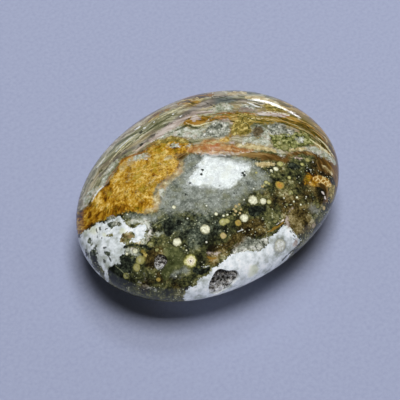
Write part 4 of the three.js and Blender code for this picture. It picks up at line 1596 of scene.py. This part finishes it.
def make_crust(name, largest, depth):
    mesh = run_tree(crust_tree(name + " tree"), lining_of(name), {"Largest": largest})
    keep_under_skin(mesh, depth)
    mesh.name = name
    centre, level, slope, out = (np.array(part) for part in seats[name])
    # How far up the hollow each corner is. The quartz shader paints the higher crystals darker with
    # it, as painted shade under the upper lip.
    upward = ((vectors_of(mesh) - centre) @ slope) / (HOLLOWS[name]["radius"] * MM)
    store(mesh, "upward", upward)
    crust = add_piece(name + "_crystals", mesh)
    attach(crust, "root")
    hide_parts(name)
    print(name, len(mesh.polygons), "faces")


make_crust("druzy_crust", largest=0.85 * MM, depth=0.12 * MM)
make_crust("small_pit_crust", largest=0.6 * MM, depth=0.1 * MM)

# %% [markdown]
# ## The quartz
#
# Small quartz points are half clear: they let light in, scatter it on flaws, and flash where a
# face mirrors the lamp. Faces are flat shaded, because crystals have no rounded edges.

# %% Quartz material
quartz_tree = empty_tree(quartz_material)
quartz = Paint(quartz_tree)
# Crystals higher up the wall of a hollow are painted darker, as painted shade under its upper lip,
# and the noise adds a random mottle.
painted_shade_and_mottle = quartz.value("upward") * 0.14 + quartz.cloud(0.8, 5, 0.62)
end_material(quartz_tree, {
    "Base Color": quartz.ramp(painted_shade_and_mottle, ".36 fdfefd .44 e0deda .50 b4b0a8 .56 75706a .64 37332e"),
    "Roughness": 0.12, "IOR": QUARTZ_IOR, "Transmission Weight": 0.3})
print("quartz:", len(quartz_tree.nodes), "nodes")

# %% [markdown]
# ## Floor and light
#
# A plain pale sheet carries the stone. A small softbox up behind it leaves one crisp window of
# light on the polished top, and a low strip behind draws the thin bright line along the far
# edge. A wide lamp overhead gives most of the light, and a long low one in front lifts the near
# flank. Those two are kept out of the reflections, since a polish with many windows in it looks
# restless. A dim even sky fills the rest.

# %% Floor
FLOOR_HALF = 0.8
floor_mesh = bpy.data.meshes.new("floor")
floor_mesh.from_pydata([(x * FLOOR_HALF, y * FLOOR_HALF, 0)
                        for x, y in ((-1, -1), (1, -1), (1, 1), (-1, 1))], [], [(0, 1, 2, 3)])
floor = add_piece("floor", floor_mesh)
floor_material = bpy.data.materials.new("pale floor")
floor_tree = empty_tree(floor_material)
floor_paint = Paint(floor_tree)
fibre = floor_paint.ramp(floor_paint.cloud(0.9, 5), ".3 999fba .7 a3a9c2")
end_material(floor_tree, {"Base Color": fibre, "Roughness": 0.85, "Specular IOR Level": 0.15})
floor.data.materials.append(floor_material)

# %% Lamps
view_away = Vector((-view_back.x, -view_back.y, 0)).normalized()
LAMP_TARGET = Vector((0, 0, 15 * MM))


def softbox(name, toward, wide, tall, distance, power, tint=(1, 1, 1)):
    """A flat lamp facing the stone. toward, wide and tall are (right, away, up) vectors as the
    camera sees them; the last two give its sides, and are as long as those sides."""
    toward, wide, tall = (view_right * v[0] + view_away * v[1] + Vector((0, 0, v[2]))
                          for v in (toward, wide, tall))
    facing = toward.normalized()
    across = (wide - facing * wide.dot(facing)).normalized()
    lamp = bpy.data.lights.new(name, "AREA")
    lamp.shape = "RECTANGLE"
    lamp.size, lamp.size_y = wide.length, tall.length
    lamp.energy, lamp.color = power, tint
    holder = bpy.data.objects.new(name, lamp)
    bpy.context.collection.objects.link(holder)
    turn = Matrix((across, facing.cross(across), facing)).transposed().to_4x4()
    holder.matrix_world = Matrix.Translation(facing * distance + LAMP_TARGET) @ turn
    return holder


softbox("window", (0.08, 0.50, 0.85), (0.156, -0.065, 0.02), (-0.048, -0.09, 0.054),
        distance=0.60, power=0.85, tint=(0.9, 0.96, 1.0))
softbox("low strip", (0.30, 0.95, 0.035), (0.26, -0.08, 0.0), (0, 0, 0.05),
        distance=0.9, power=0.5)
overhead = softbox("overhead", (0.08, 0.1, 1.0), (0.5, 0, 0), (0, 0.5, 0), distance=1.0, power=9.2)
front_fill = softbox("front fill", (0.1, -1.0, 0.03), (1.0, 0, 0), (0, 0, 0.08),
                     distance=1.0, power=3.6)
overhead.visible_glossy = front_fill.visible_glossy = False

world = bpy.data.worlds.new("studio")
bpy.context.scene.world = world
world.use_nodes = True
sky = world.node_tree.nodes["Background"]
sky.inputs["Color"].default_value = (0.97, 0.98, 1.0, 1)
sky.inputs["Strength"].default_value = 0.025
bpy.context.scene.view_settings.view_transform = "Standard"
